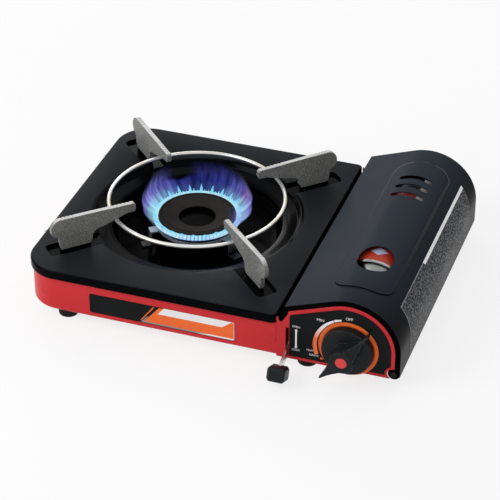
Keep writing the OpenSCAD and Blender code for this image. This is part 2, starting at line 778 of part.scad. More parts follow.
post_places = [[-14, 12], [-14, -12]];
module regulator_body() {
    color("#7d7f82") difference() {
        union() {
            for (p = post_places) bar_y([knob_x + p.x, inner_y, knob_z + p.y], reg_y - inner_y + 1, 3.2);
            translate([knob_x - 18, reg_y, knob_z - 15.5]) cube([36, 4, 33]);
            translate([knob_x - 18, reg_y + 3, knob_z - 9]) cube([30, 17, 26]);
            bar_y([knob_x, cam_y + cam_t + 0.5, knob_z], reg_y - cam_y - cam_t + 1, spindle_r + 3.5);
            bar_y([can_x, reg_y + 14, can_z], 19, 15);
            bar_y([can_x, reg_y + 33 - eps, can_z], 5, 9.5);
        }
        bar_y([knob_x, inner_y, knob_z], reg_y - inner_y + 8, spindle_r + play);
        bar_y([can_x, reg_y + 26, can_z], 20, stem_r + gap);
    }
}

cover_x = knob_x - 18;
cover_y = reg_y + 12;
cover_z = knob_z + 4;
cover_r = 17;
cover_screws = [45, 135, 225, 315];
module regulator_cover() {
    color(steel) difference() {
        union() {
            bar_x([cover_x - 4, cover_y, cover_z], 4, cover_r);
            bar_x([cover_x - 9, cover_y, cover_z], 5 + eps, cover_r - 5);
            bar_x([cover_x - 11, cover_y, cover_z], 2 + eps, 4);
        }
        for (a = cover_screws) translate([0, cover_y, cover_z]) rotate([a, 0, 0])
            bar_x([cover_x - 5, cover_r - 2.6, 0], 6, 1.2 + play);
    }
}
module regulator_screws() {
    color(bright) for (a = cover_screws) translate([0, cover_y, cover_z]) rotate([a, 0, 0]) {
        bar_x([cover_x - 4, cover_r - 2.6, 0], 4, 1.2);
        bar_x([cover_x - 5.4, cover_r - 2.6, 0], 1.4, 2);
    }
}

piezo_z = knob_z + 21.3;
piezo_y = cam_y + 1.75;
piezo_end = knob_x - 19;
module igniter() {
    color("#2a2a2c") {
        bar_x([piezo_end - 24, piezo_y + 4, piezo_z], 24, 6);
        translate([piezo_end - 22, inner_y, piezo_z - 4.5]) cube([20, 6, 9]);
    }
}
module igniter_plunger() {
    color("#c9c4b8") bar_x([piezo_end, piezo_y + 2, piezo_z], 8, 2.4);
}

// Lead from the igniter to the spark electrode, clipped along the partition
lead_r = 1.2;
module ignition_lead() {
    e = [burner_x + electrode_r * cos(electrode_a), burner_y + electrode_r * sin(electrode_a), bowl_z - 9];
    start = [piezo_end - 24, piezo_y + 4, piezo_z];
    route = [
        start, [start.x - 4, start.y, start.z], [start.x - 4, lead_y, start.z - 4],
        [start.x - 4, lead_y, lead_z], [pipe_drop_x - 1, lead_y, lead_z],
        [pipe_drop_x - 1, e.y - 12, lead_z - 6], [pipe_drop_x - 1, e.y, e.z], e
    ];
    color("#c8c8c4") {
        for (i = [0:len(route) - 2]) rod(route[i], route[i + 1], lead_r);
        for (i = [1:len(route) - 2]) translate(route[i]) sphere(lead_r + 0.1);
    }
}
module electrode_holder() {
    color("#e6e2d8") translate([burner_x, burner_y, 0]) rotate([0, 0, electrode_a]) difference() {
        union() {
            bar_z([electrode_r, 0, bowl_z - 8], 24, 3);
            bar_z([electrode_r, 0, bowl_z + 0.05], 2, 4.2);
        }
        bar_z([electrode_r, 0, bowl_z - 9], 30, 0.9 + play);
    }
}
module electrode_pin() {
    top = bowl_z + 18;
    color(bright) translate([burner_x, burner_y, 0]) rotate([0, 0, electrode_a]) {
        bar_z([electrode_r, 0, bowl_z - 7.5], 25.5, 0.9);
        translate([electrode_r, 0, top]) sphere(0.9);
        rod([electrode_r, 0, top], [head_r + 3, 0, top + 2.5], 0.9);
    }
}

// ---------- Lever ----------

module lever_bracket() {
    color(steel) difference() {
        union() {
            for (x = [slot_x - 4.6, slot_x + 2.6]) translate([x, pivot_y - 7, floor_z])
                cube([1.2, 14, pivot_z - floor_z + 6]);
            translate([slot_x - 4.6, pivot_y - 7, floor_z]) cube([8.4, 14, 1.2]);
        }
        bar_x([slot_x - 6, pivot_y, pivot_z], 12, pin_r + play);
    }
}
module lever_pin() {
    color(bright) {
        bar_x([slot_x - 5, pivot_y, pivot_z], 9.4, pin_r);
        bar_x([slot_x - 5.6, pivot_y, pivot_z], 1, pin_r + 1.2);
    }
}
module lever_arm() {
    color(bright) difference() {
        along_x(slot_x - lever_t / 2, lever_t) {
            translate([pivot_y, pivot_z]) circle(6);
            translate([pivot_y, pivot_z]) rotate(180 + arm_a) translate([0, -arm_w / 2])
                square([arm_len, arm_w]);
            translate([pivot_y, pivot_z]) rotate(90 + crank_lean) translate([0, -3.5]) square([crank_l, 7]);
            translate([crank_y, crank_z]) circle(4);
        }
        bar_x([slot_x - 3, pivot_y, pivot_z], 6, pin_r + play);
        bar_x([slot_x - 3, crank_y, crank_z], 6, crank_pin_r + play);
    }
}
module crank_pin() {
    color(bright) {
        bar_x([slot_x - lever_t / 2 - 0.8, crank_y, crank_z], 9, crank_pin_r);
        bar_x([slot_x - lever_t / 2 - 1, crank_y, crank_z], 0.95, crank_pin_r + 1);
    }
}
// Side view of the grip, inset by t
module grip_profile(t) {
    translate([grip_y, grip_z]) rotate(-grip_tilt) hull()
        for (y = [-1, 1], z = [-1, 1]) translate([y * grip_core.x, z * grip_core.y]) circle(grip_round - t);
}
module lever_grip() {
    end_round = 2;
    color(rubber_black) difference() {
        hull() {
            along_x(slot_x - grip_size.x / 2, grip_size.x) grip_profile(end_round);
            along_x(slot_x - grip_size.x / 2 + end_round, grip_size.x - 2 * end_round) grip_profile(0);
        }
        // Pocket for the end of the lever's plate
        along_x(slot_x - lever_t / 2 - play, lever_t + 2 * play) translate([pivot_y, pivot_z])
            rotate(180 + arm_a) translate([0, -arm_w / 2 - play]) square([arm_len + play, arm_w + 2 * play]);
    }
}

// ---------- Cartridge and its carriage ----------

module carriage_guides() {
    color(steel) for (y = [can_y + 22, can_end - 40]) difference() {
        translate([carriage_x - 1.5, y, floor_z]) cube([carriage_t + 3, guide_l, bar_h + 1.8]);
        translate([carriage_x - gap, y - 1, floor_z - 1])
            cube([carriage_t + 2 * gap, guide_l + 2, bar_h + 1 + 2 * gap]);
    }
}
module cartridge_carriage() {
    bar_front = crank_y - 6;
    bar_back = pusher_y + pusher_t;
    slot_half = crank_pin_r + 0.2;
    color(steel) difference() {
        union() {
            translate([carriage_x, bar_front, bar_z]) cube([carriage_t, bar_back - bar_front, bar_h]);
            translate([carriage_x, bar_front, bar_z]) cube([carriage_t, 12, crank_z + 4 - bar_z]);
            translate([carriage_x, pusher_y, bar_z])
                cube([can_x + 12 - carriage_x, pusher_t, pusher_top - bar_z]);
        }
        translate([carriage_x - 1, crank_y - slot_half, crank_z - 3])
            cube([carriage_t + 2, 2 * slot_half, 20]);
        // Relief under the cartridge's seam
        translate([can_x, pusher_y - 1, can_z + 22]) rotate([-90, 0, 0]) cylinder(h = pusher_t + 2, r = 16);
    }
}

module can_wall() {
    color("#c23a2c") difference() {
        bar_y([can_x, can_y + 3, can_z], can_l - 6, can_r);
        bar_y([can_x, can_y + 2, can_z], can_l - 4, can_r - can_t);
    }
}
module can_dome() {
    color(bright) translate([can_x, can_y, can_z]) rotate([90, 0, 0]) rotate_extrude() {
        polygon([
            [seam_r - 1, -3], [seam_r, -2.4], [seam_r, -0.6], [seam_r - 0.8, 0], [seam_r - 2.2, 0],
            [seam_r - 3, -0.8], [seam_r - 3.2, -1.8], [28, 1.2], [24, 5], [collar_r + 1.5, 8.6],
            [collar_r - 2, dome_h], [collar_r - 3, dome_h], [collar_r - 3, dome_h - 1],
            [collar_r + 1, 7.6], [23.4, 4.2], [27.4, 0.4], [seam_r - 3, -3]
        ]);
    }
}
module can_base() {
    color(bright) translate([can_x, can_end, can_z]) rotate([-90, 0, 0]) rotate_extrude() {
        polygon([
            [seam_r - 1, -3], [seam_r, -2.4], [seam_r, -0.6], [seam_r - 0.8, 0], [seam_r - 2.4, 0],
            [seam_r - 3.4, -1.6], [20, -5], [0, -6.5], [0, -7.2], [20, -5.7], [seam_r - 3.2, -3]
        ]);
    }
}
module can_collar() {
    color(bright) translate([can_x, can_y - dome_h, can_z]) rotate([90, 0, 0]) rotate_extrude() {
        polygon([
            [collar_r - 3, -0.8], [collar_r - 3, 0.05], [collar_r, 0.4], [collar_r + 0.3, 1.4],
            [collar_r, collar_h - 0.6], [collar_r - 0.8, collar_h], [collar_r - 2.4, collar_h],
            [collar_r - 3, collar_h - 0.8], [collar_r - 4, 1], [5, 0], [stem_r + play, 0],
            [stem_r + play, -0.8]
        ]);
    }
}
module can_stem() {
    color("#d8d4c8") difference() {
        bar_y([can_x, can_y - dome_h - collar_h - stem_l, can_z], stem_l + collar_h + 3, stem_r);
        bar_y([can_x, can_y - dome_h - collar_h - stem_l - 1, can_z], stem_l + 4, 0.7);
    }
}

// ---------- Lid ----------

// Outline of the pressed panel seen from above, inset by t
module panel_outline(t) {
    half = panel_half - t;
    front = panel_front + t;
    r = panel_corner_r - t;
    translate([panel_mid - half, front + r]) square([2 * half, panel_back - panel_half - front - r]);
    translate([panel_mid - half + r, front]) square([2 * (half - r), r + 5]);
    for (s = [-1, 1]) translate([panel_mid + s * (half - r), front + r]) circle(r);
    translate([panel_mid, panel_back - panel_half]) circle(half);
}

// One curved vent slot with round ends, bent about a point in front of it
module vent() {
    c = [0, -vent_bend_r];
    w = vent_w / 2;
    tip = 90 - asin(vent_l / 2 / vent_bend_r) + asin(w / vent_bend_r);
    right = [for (i = [1:7]) c + polar(vent_bend_r, tip) + polar(w, tip - 22.5 * i)];
    left = [for (i = [6:-1:0]) [-right[i].x, right[i].y]];
    inner = arc(c, vent_bend_r - w, tip, 180 - tip);
    outer = arc(c, vent_bend_r + w, 180 - tip, tip);
    polygon(concat(inner, left, outer, right));
}

// Lip hook and hinge ear at each end of the lid, in x and z
module lid_hook() {
    polygon([
        [lip_x, bevel_foot_z - 0.5], [lip_x, lip_z], [lip_x + 1.2, lip_z - 1], [lip_x + 4.4, lip_z + 1.4],
        [lip_x + 9.6, bevel_foot_z + 7], [lip_x + 6, bevel_foot_z + 6]
    ]);
}
module lid_ear() {
    translate([hinge_x, hinge_z]) circle(ear_r);
    translate([hinge_x, hinge_z]) square([ear_r, 3]);
}

module lid_shell() {
    ends = [lid_y, lid_y + lid_l - lid_t];
    color(charcoal) difference() {
        union() {
            difference() {
                union() {
                    along_y(lid_y, lid_l) lid_inside(0, lid_wall_z);
                    // Raised panel
                    intersection() {
                        along_y(lid_y + 5, lid_l - 10) lid_inside(-panel_lift, lid_z);
                        translate([0, 0, lid_z]) linear_extrude(lid_r + 5) panel_outline(0);
                    }
                }
                // Inside of the sheet
                along_y(lid_y + lid_t, lid_l - 2 * lid_t) lid_inside(lid_t, lid_wall_z - 1);
                intersection() {
                    along_y(lid_y + 6, lid_l - 12) lid_inside(lid_t - panel_lift, lid_z);
                    translate([0, 0, lid_z]) linear_extrude(lid_r + 5) panel_outline(lid_t);
                }
                // Openings of the ends, inside their bands
                along_y(lid_y - 1, lid_l + 2) lid_inside(band_w, lid_wall_z - 1);
                // Open left side under the lip
                translate([lip_x - 1, lid_y - 1, 0]) cube([20, lid_l + 2, lip_z]);
            }
            for (y = ends) along_y(y, lid_t) {
                lid_hook();
                lid_ear();
            }
        }
        bar_y([hinge_x, lid_y - 1, hinge_z], lid_l + 2, pin_hole_r);
        // Window
        translate([window_x, window_y, lid_z]) linear_extrude(lid_r + 5) {
            for (s = [-1, 1]) translate([0, s * window_stretch / 2]) circle(window_r);
            square([2 * window_r, window_stretch], center = true);
        }
        // Vents
        for (i = [0:vent_count - 1]) translate([window_x - 2, vent_y + i * vent_pitch, lid_z])
            linear_extrude(lid_r + 5) vent();
    }
}

// Plain label on the lid's outer side
module lid_label() {
    color("#3c3d3f") along_y(label_front, label_back - label_front) intersection() {
        difference() {
            union() {
                translate(arch_c) circle(lid_r + label_t);
                translate([lid_x, case_z]) square([lid_r + label_t, lid_z - case_z]);
            }
            translate(arch_c) circle(lid_r + 0.05);
            translate([lid_x, case_z - 1]) square([lid_r + 0.05, lid_z - case_z + 1]);
        }
        polygon([
            arch_c, arch_c + 100 * [cos(39), sin(39)], [x_end + 20, lid_z + 40], [x_end + 20, lid_wall_z + 3],
            [lid_x, lid_wall_z + 3]
        ]);
    }
}

// ---------- Trivet ----------

module wire_ring(r) translate([burner_x, burner_y, ring_z]) rotate_extrude() translate([ring_r, 0]) circle(r);

module trivet_ring() color(bright) wire_ring(wire_r);

function turn(c, p) = atan2(p.y - c.y, p.x - c.x);
// Where circle a crosses circle b, on the left of the way from a to b
function crossing(a, ra, b, rb) =
    let (d = norm(b - a), u = (b - a) / d, m = (ra * ra - rb * rb + d * d) / (2 * d))
    a + m * u + sqrt(ra * ra - m * m) * [-u.y, u.x];

// Side view of a leg: distance from the burner's axis and height above its foot
module leg_profile() {
    top = trivet_h - (post_z - plate_z);
    lobe = [leg_out - lobe_r, top - lobe_r];
    neck = [foot_out + 8.5, 7.9];
    neck_r = 7;
    join = crossing(lobe, lobe_r, neck, neck_r);
    up = [-sin(leg_tilt), cos(leg_tilt)];
    along = [cos(leg_tilt), sin(leg_tilt)];
    crest = lobe + lobe_r * up;
    run = lobe.x - leg_in - 2;
    under_z = ring_z - post_z + wire_r - 0.6;
    difference() {
        polygon(concat(
            [[leg_in + 1, top - 9.8], [leg_in, top - 7], [leg_in + 0.4, top - 3], crest - run * along],
            arc(lobe, lobe_r, 90 + leg_tilt, turn(lobe, join)), arc(neck, neck_r, turn(neck, join), 190),
            [[foot_out, 0], [foot_in, 0]], arc([foot_in - 10.7, 5], 8.2, -8, 78),
            [[foot_in - 16.9, 14.5], [ring_r, under_z], [leg_in + 9, top - 10.2]]
        ));
        // Scalloped grips for the pan
        for (i = [0:5]) translate(crest - (run - 4 - 3.6 * i) * along + 0.8 * up) circle(1.2);
        for (i = [0:3]) translate(crest - 3.6 * (i + 0.3) * along + 0.8 * up) circle(1.2);
    }
}
module trivet_leg(a) {
    color("#8d8f8c") difference() {
        translate([burner_x, burner_y, post_z]) rotate([0, 0, a]) translate([0, leg_t / 2, 0])
            rotate([90, 0, 0]) linear_extrude(leg_t) leg_profile();
        wire_ring(wire_r + play);
    }
}
module trivet_leg_back_right() trivet_leg(diagonals[0]);
module trivet_leg_back_left() trivet_leg(diagonals[1]);
module trivet_leg_front_left() trivet_leg(diagonals[2]);
module trivet_leg_front_right() trivet_leg(diagonals[3]);

// ---------- Knob ----------

// Child shapes drawn facing the user: x right, y up, z out of the panel
module on_knob() translate([knob_x, disc_y, knob_z]) rotate([90, 0, 0]) children();

// A wing of the knob: its front outline and its side outline, turned to angle a
module wing(a, front, side) {
    rotate([0, 0, a]) intersection() {
        linear_extrude(hub_h) polygon(front);
        translate([0, 20, 0]) rotate([90, 0, 0]) linear_extrude(40) polygon(side);
    }
}

module knob() {
    tip = knob_tip_r;
    color(gloss_black) on_knob() difference() {
        union() {
            rotate_extrude() {
                rim_section(knob_r, disc_h, 1.2);
                rim_section(hub_r, hub_h, 0.8);
            }
            // Pointer towards the scale
            wing(226.7,
                 [
                     [0, -6.6], [8, -6.6], [15, -3.8], [21, -2], [tip, -0.6], [tip, 0.6], [21, 2], [15, 3.8],
                     [8, 6.6], [0, 6.6]
                 ],
                 [[0, 8], [13, 9.5], [tip, hub_h - 3.5], [tip, hub_h - 1.2], [0, hub_h - 0.2]]);
            // Tail that runs down to the disc's rim
            wing(48.3,
                 [[0, -6.2], [9, -6.2], [19, -1.2], [tip, -0.8], [tip, 0.8], [19, 1.2], [9, 6.2], [0, 6.2]],
                 [[0, 0.6], [tip, 0.6], [tip, disc_h + 1.4], [19, 9.5], [9.8, hub_h - 1], [0, hub_h - 1]]);
        }
        translate([0, 0, -1]) cylinder(h = hub_h - 4, r = spindle_r + play);
        translate([0, 0, hub_h - 1.2]) cylinder(h = 3, r = 5.05);
    }
}
module knob_cap() {
    color("#d2434b") on_knob() translate([0, 0, hub_h - 1.2]) rotate_extrude() rim_section(5, 1.5, 0.4);
}

module valve_spindle() {
    color(bright) bar_y([knob_x, disc_y - hub_h + 6.5, knob_z], reg_y + 6 - disc_y + hub_h - 6.5, spindle_r);
}
module igniter_cam() {
    color("#d9d5c8") difference() {
        along_y(cam_y, cam_t) {
            translate([knob_x, knob_z]) circle(11);
            translate([knob_x, knob_z]) rotate(106) translate([0, -cam_arm_w / 2])
                square([cam_reach, cam_arm_w]);
        }
        bar_y([knob_x, cam_y - 1, knob_z], cam_t + 2, spindle_r + play);
    }
}

body_case();
top_plate();
drip_bowl();
bay_partition();
hinge_brackets();
hinge_pins();
foot_front_left();
foot_front_right();
foot_back_left();
foot_back_right();
plate_screws();
front_badge();
control_panel();
dial_ring();
burner_body();
burner_head();
burner_stand();
mixing_tube();
air_shutter();
gas_jet();
jet_bracket();
gas_pipe();
regulator_body();
regulator_cover();
regulator_screws();
igniter();
igniter_plunger();
ignition_lead();
electrode_holder();
electrode_pin();
lever_bracket();
lever_pin();
carriage_guides();
lid_shell();
lid_label();
trivet_ring();
trivet_leg_back_right();
trivet_leg_back_left();
trivet_leg_front_left();
trivet_leg_front_right();
knob();
knob_cap();
valve_spindle();
igniter_cam();
lever_arm();
lever_grip();
crank_pin();
cartridge_carriage();
can_wall();
can_dome();
can_base();
can_collar();
can_stem();
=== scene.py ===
"""Portable cassette stove: finishes and fine pieces over the packed model."""

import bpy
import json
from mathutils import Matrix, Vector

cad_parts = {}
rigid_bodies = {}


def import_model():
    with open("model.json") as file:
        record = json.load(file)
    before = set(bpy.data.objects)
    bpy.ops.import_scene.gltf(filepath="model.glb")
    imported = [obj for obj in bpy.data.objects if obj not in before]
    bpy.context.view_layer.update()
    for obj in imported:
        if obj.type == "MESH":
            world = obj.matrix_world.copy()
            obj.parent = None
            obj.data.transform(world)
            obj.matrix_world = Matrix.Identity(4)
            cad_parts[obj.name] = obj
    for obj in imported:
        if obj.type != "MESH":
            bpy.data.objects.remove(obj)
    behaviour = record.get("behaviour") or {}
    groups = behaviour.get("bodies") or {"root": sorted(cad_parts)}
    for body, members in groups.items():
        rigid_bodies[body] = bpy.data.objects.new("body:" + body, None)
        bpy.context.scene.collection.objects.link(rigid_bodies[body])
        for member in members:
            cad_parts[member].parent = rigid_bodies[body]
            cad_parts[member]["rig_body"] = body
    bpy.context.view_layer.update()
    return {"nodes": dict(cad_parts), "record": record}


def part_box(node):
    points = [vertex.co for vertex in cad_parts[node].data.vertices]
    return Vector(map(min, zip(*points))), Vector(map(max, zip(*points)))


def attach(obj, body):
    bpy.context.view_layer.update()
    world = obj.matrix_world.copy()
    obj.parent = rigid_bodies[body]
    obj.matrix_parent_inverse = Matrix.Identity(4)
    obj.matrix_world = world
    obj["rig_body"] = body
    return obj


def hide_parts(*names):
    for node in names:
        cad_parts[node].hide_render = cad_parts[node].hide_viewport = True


bl_info = {
    "name": "Cassette Stove",
    "version": (1, 0, 0),
    "blender": (4, 5, 0),
    "location": "View3D > Sidebar > Stove",
    "description": "Builds the looks of a portable cassette stove around its packed model",
    "category": "Object",
}

import json
import math

import bmesh
import bpy
from mathutils import Matrix, Vector

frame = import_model()
NODES = frame["nodes"]
SLOT_OF = {part["node"]: part["material_slot"] for part in frame["record"]["subparts"]}

MM = 0.001

# Places that the packed model gives, in metres
HEAD_LOW, HEAD_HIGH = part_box("burner_head")
BURNER = (HEAD_LOW + HEAD_HIGH) / 2
HEAD_RADIUS = (HEAD_HIGH.x - HEAD_LOW.x) / 2
HEAD_TOP = HEAD_HIGH.z
RING_LOW, RING_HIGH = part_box("trivet_ring")
DIAL_LOW, DIAL_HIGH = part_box("dial_ring")
DIAL = (DIAL_LOW + DIAL_HIGH) / 2
PANEL_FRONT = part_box("control_panel")[0].y
BADGE_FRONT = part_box("front_badge")[0].y
PLATE_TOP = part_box("top_plate")[1].z
LABEL_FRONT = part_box("lid_label")[0].y
CAN_LOW, CAN_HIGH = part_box("can_wall")
CAN = (CAN_LOW + CAN_HIGH) / 2
STAND_LOW, STAND_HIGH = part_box("burner_stand")
PLATE_WELL = 97 * MM
# Faces lower than this under the plate's top, in its pockets and rolled edges, take gloss black as painted
# shade
PLATE_SHADE_DROP = 1.4 * MM
DISH_RADIUS = 16.6 * MM
LID_AXIS = (128.5 * MM, 0.0, 34.0 * MM)

# The lid's raised panel, for a painted highlight line along its edge: its middle, half its flat sides, and the
# bend of its corners. Then where the painted shade towards the lid's front grows
PANEL_EDGE_CENTRE = (129.8 * MM, 17.5 * MM)
PANEL_EDGE_FLAT = (10.8 * MM, 92.0 * MM)
PANEL_EDGE_BEND = 15.0 * MM
LID_SHADE_Y = (-0.14, -0.06)

# The flame: its gap, in degrees about the burner, its outline from the head's rim and ports in
# millimetres, and the waves of its radius as (share, count, phase). Then its tongues and its foot
GAP_TURN = 129.0
GAP_HALF_TURN = 6.5
VEIL_CURVE = (
    (1.2, -2.5), (5.0, 0.5), (9.5, 4.5), (13.5, 9.5), (15.0, 15.0), (14.2, 21.0), (12.0, 27.0), (9.5, 32.5),
)
VEIL_WAVES = ((0.012, 5, 0.4), (0.010, 9, 1.7), (0.008, 17, 0.2))
VEIL_SIDES = 144
VEIL_WALL = 0.6 * MM
TONGUE_SIDES = 8
TONGUE_RADIUS = 1.25 * MM
TONGUE_PROFILE = ((0.55, 0.10), (0.95, 0.28), (1.0, 0.42), (0.72, 0.66), (0.36, 0.86))
JET_GAP = 0.4 * MM
JET_LEAN = math.radians(44)
PORT_DROP = 3.0 * MM
FOOT_DROP = 2.2 * MM
FOOT_REACH = 2.6 * MM
FOOT_HALF_HEIGHT = 2.5 * MM
FOOT_WIDTH_SHARE = 0.88
FOOT_SIDES = 12

# Print and painted light on the cartridge: turns in degrees about its axis, places along the bay. A pale patch
# and a pale streak are painted highlights, and a dark rear band is painted shade
HIGHLIGHT_PATCH_TURN = 89.0
HIGHLIGHT_PATCH_HALF_TURN = 14.0
HIGHLIGHT_PATCH_Y = -26.0 * MM
HIGHLIGHT_PATCH_HALF_LENGTH = 6.0 * MM
SHADED_REAR_Y = 80.0 * MM
HIGHLIGHT_STREAK_TURNS = (62.0, 78.0)
HIGHLIGHT_STREAK_Y = 68.0 * MM
# Turn where the dome's painted reflection is brightest
DOME_REFLECTION_TURN = 82.0

# Print on the lid's label: turns in degrees about the lid's bend, places along the bay
STRIP_TURNS = (34.6, 38.7)
STRIP_START = 12.0 * MM
STRIP_SLANT = 0.6 * MM
RULE_TURN = 37.4
RULE_WIDTH_TURN = 1.2
RULE_END = -12.0 * MM
RULE_WIDTH = 0.9 * MM
LABEL_GRAIN = (1.0, 0.42, 1.0)

# The dial's scale in bands of (inner radii, outer radii, first turn, last turn, steps), and the words
# beside it as (word, x, z, share of the letter height), in millimetres and degrees
SCALE_BANDS = (((27.2, 27.1), (29.2, 30.2), 119, 149, 12), ((27.2, 28.8), (30.4, 32.7), 152, 204, 20))
LOW_BANDS = (((27.3, 27.2), (28.9, 29.5), 104, 117.5, 8),)
WORDS = (
    ("OFF", 128.8, 63.2, 1.0),
    ("MIN", 103.5, 56.6, 1.0),
    ("MAX", 94.6, 23.1, 0.72),
    ("IGNITE", 98.2, 18.7, 0.72),
    ("OPEN", 82.1, 44.7, 0.72),
    ("LOCK", 82.1, 20.6, 0.72),
)
SPARK_DOT_CENTRE = (105.0 * MM, 16.9 * MM)
SPARK_DOT_RADIUS = 1.2

# The camera stands in front of the stove, a little to the right, and looks down on it
CAMERA_PLACE = Vector((518.555, -1495.350, 1084.788)) * MM
CAMERA_TURN = 0.33318136755457134
CAMERA_PITCH = 0.5863686275058568
CAMERA_LENS = 151.2

# Soft square lamps that look at the stove: name, place, side and power. Then the world and the floor
LAMPS = (
    ("key_left", (-0.98, -0.88, 1.00), 0.8, 12.6),
    ("fill_front", (0.9, -2.0, 0.9), 1.6, 6.0),
    ("back_left", (-1.05, 1.40, 0.62), 0.9, 8.0),
    ("back_top", (0.2, 1.3, 1.5), 1.4, 6.0),
)
LAMP_TARGET = Vector((0.0, 0.0, 0.04))
WORLD_LIGHT = 0.45
FLOOR_TONE = (0.93, 0.93, 0.93)
FLOOR_GLOW = 0.78
FLOOR_HALF = 6.0

# Kinds of socket and tree, the sharpest edge that is shaded smooth, and a factor that drops a height
FLOAT = "NodeSocketFloat"
INTEGER = "NodeSocketInt"
VECTOR = "NodeSocketVector"
MATERIAL = "NodeSocketMaterial"
GEOMETRY = "NodeSocketGeometry"
SHADER_TREE = "ShaderNodeTree"
GEOMETRY_TREE = "GeometryNodeTree"
SMOOTH_LIMIT = math.radians(28)
LEVEL = (1.0, 1.0, 0.0)
ORIGIN = (0.0, 0.0, 0.0)


# ---------- Settings ----------


def length_setting(name, description, default, low, high):
    """A length property with these words, this default and these limits."""
    return bpy.props.FloatProperty(
        name=name,
        description=description,
        default=default,
        min=low,
        max=high,
        subtype="DISTANCE",
        unit="LENGTH",
    )


def colour_setting(name, description, default):
    """A colour property with these words and this default."""
    return bpy.props.FloatVectorProperty(
        name=name,
        description=description,
        default=default,
        size=3,
        min=0.0,
        max=1.0,
        subtype="COLOR",
    )


class StoveSizes(bpy.types.PropertyGroup):
    """Sizes of the fine pieces"""

    flame_count: bpy.props.IntProperty(
        name="Flame jets",
        description="Number of small flames round the burner head",
        default=72,
        min=12,
        max=96,
    )
    flame_length: length_setting("Jet length", "Length of one small flame at the ports", 0.0096, 0.004, 0.02)
    flame_height: length_setting("Flame height", "Height of the blue flame over the ports", 0.033, 0.01, 0.033)
    wire_radius: length_setting("Ring wire radius", "Radius of the trivet ring's wire", 0.0018, 0.0012, 0.0018)
    print_height: length_setting("Print thickness", "Thickness of the printed marks", 0.00008, 0.00004, 0.0002)
    letter_height: length_setting("Letter height", "Height of the words by the dial", 0.0038, 0.0015, 0.006)


class StoveColours(bpy.types.PropertyGroup):
    """Colours of the finishes"""

    case_red: colour_setting("Case red", "Powder coat of the case", (0.56, 0.028, 0.033))
    plate_black: colour_setting("Plate black", "Satin coat of the plate", (0.0135, 0.0150, 0.0180))
    lid_black: colour_setting("Lid black", "Satin coat of the lid", (0.0285, 0.0345, 0.0455))
    # Gloss black, also used as painted shade on steep faces, undersides and recesses of the plate, the lid and
    # the burner head
    gloss_black_and_shade: colour_setting("Gloss black", "Rolled edges and the well", (0.0011, 0.0011, 0.0013))
    enamel_black: colour_setting("Enamel black", "Gloss enamel of the drip bowl", (0.0008, 0.0008, 0.0010))
    knob_black: colour_setting("Knob black", "Moulded plastic of the knob", (0.0100, 0.0120, 0.0135))
    leg_grey: colour_setting("Leg grey", "Sintered coat of the trivet legs", (0.25, 0.25, 0.243))
    ring_steel: colour_setting("Ring steel", "Plated wire of the trivet ring", (0.64, 0.64, 0.63))
    dial_orange: colour_setting("Dial orange", "Printed ring behind the knob", (0.83, 0.15, 0.035))
    cap_red: colour_setting("Cap red", "Insert in the knob's hub", (0.68, 0.065, 0.07))
    can_red: colour_setting("Cartridge red", "Printed wall of the cartridge", (0.42, 0.036, 0.014))
    flame_blue: colour_setting("Flame blue", "Deep body of the flame", (0.034, 0.055, 0.52))
    flame_violet: colour_setting("Flame violet", "Pale streaks of the flame", (0.46, 0.42, 1.0))
    flame_core: colour_setting("Flame core", "Small flames at the ports", (0.26, 0.78, 0.88))


def sizes():
    """The size settings of this scene."""
    return bpy.context.scene.stove_sizes


def colours():
    """The colour settings of this scene."""
    return bpy.context.scene.stove_colours


# ---------- Node helpers ----------


def node_group(name, kind, inputs, outputs):
    """Makes a function that fills a tree into one that gives the node group, filled the first time.

    inputs are (name, socket type, default) and outputs are (name, socket type). The function takes the
    tree and the group's input sockets by name, and returns what goes to each output, by name.
    """

    def wrap(fill):
        def get():
            if name in bpy.data.node_groups:
                return bpy.data.node_groups[name]
            tree = bpy.data.node_groups.new(name, kind)
            for label, socket, default in inputs:
                made = tree.interface.new_socket(label, in_out="INPUT", socket_type=socket)
                if default is not None:
                    made.default_value = default
            for label, socket in outputs:
                tree.interface.new_socket(label, in_out="OUTPUT", socket_type=socket)
            given = tree.nodes.new("NodeGroupInput").outputs
            result = tree.nodes.new("NodeGroupOutput").inputs
            for label, value in fill(tree, given).items():
                tree.links.new(value, result[label])
            return tree

        get.__doc__ = fill.__doc__
        return get

    return wrap


def add(tree, kind, inputs=None, **settings):
    """A node of this kind with its settings, and values or links on its inputs."""
    node = tree.nodes.new(kind)
    for key, value in settings.items():
        setattr(node, key, value)
    for key, value in (inputs or {}).items():
        socket = node.inputs[key]
        if isinstance(value, bpy.types.NodeSocket):
            tree.links.new(value, socket)
        else:
            socket.default_value = value
    return node


def maths(tree, operation, first, second=0.0, clamp=False):
    """The result of one sum."""
    return add(tree, "ShaderNodeMath", {0: first, 1: second}, operation=operation, use_clamp=clamp).outputs[0]


def product(tree, *values):
    """Values multiplied together."""
    result = values[0]
    for value in values[1:]:
        result = maths(tree, "MULTIPLY", result, value)
    return result


def vector_maths(tree, operation, first, second=ORIGIN):
    """The result of one sum on vectors: a number for a length or a dot product, otherwise a vector."""
    node = add(tree, "ShaderNodeVectorMath", {0: first, 1: second}, operation=operation)
    return node.outputs["Value" if operation in ("LENGTH", "DOT_PRODUCT") else "Vector"]


def stretch(tree, value, low, high, first=0.0, last=1.0, ease="LINEAR"):
    """A value taken from one range to another, and held at its ends."""
    inputs = {0: value, 1: low, 2: high, 3: first, 4: last}
    return add(tree, "ShaderNodeMapRange", inputs, interpolation_type=ease).outputs[0]


def noise(tree, place, scale, detail, **more):
    """Noise from 0 to 1 at a place."""
    inputs = {"Vector": place, "Scale": scale, "Detail": detail, **more}
    return add(tree, "ShaderNodeTexNoise", inputs).outputs["Fac"]


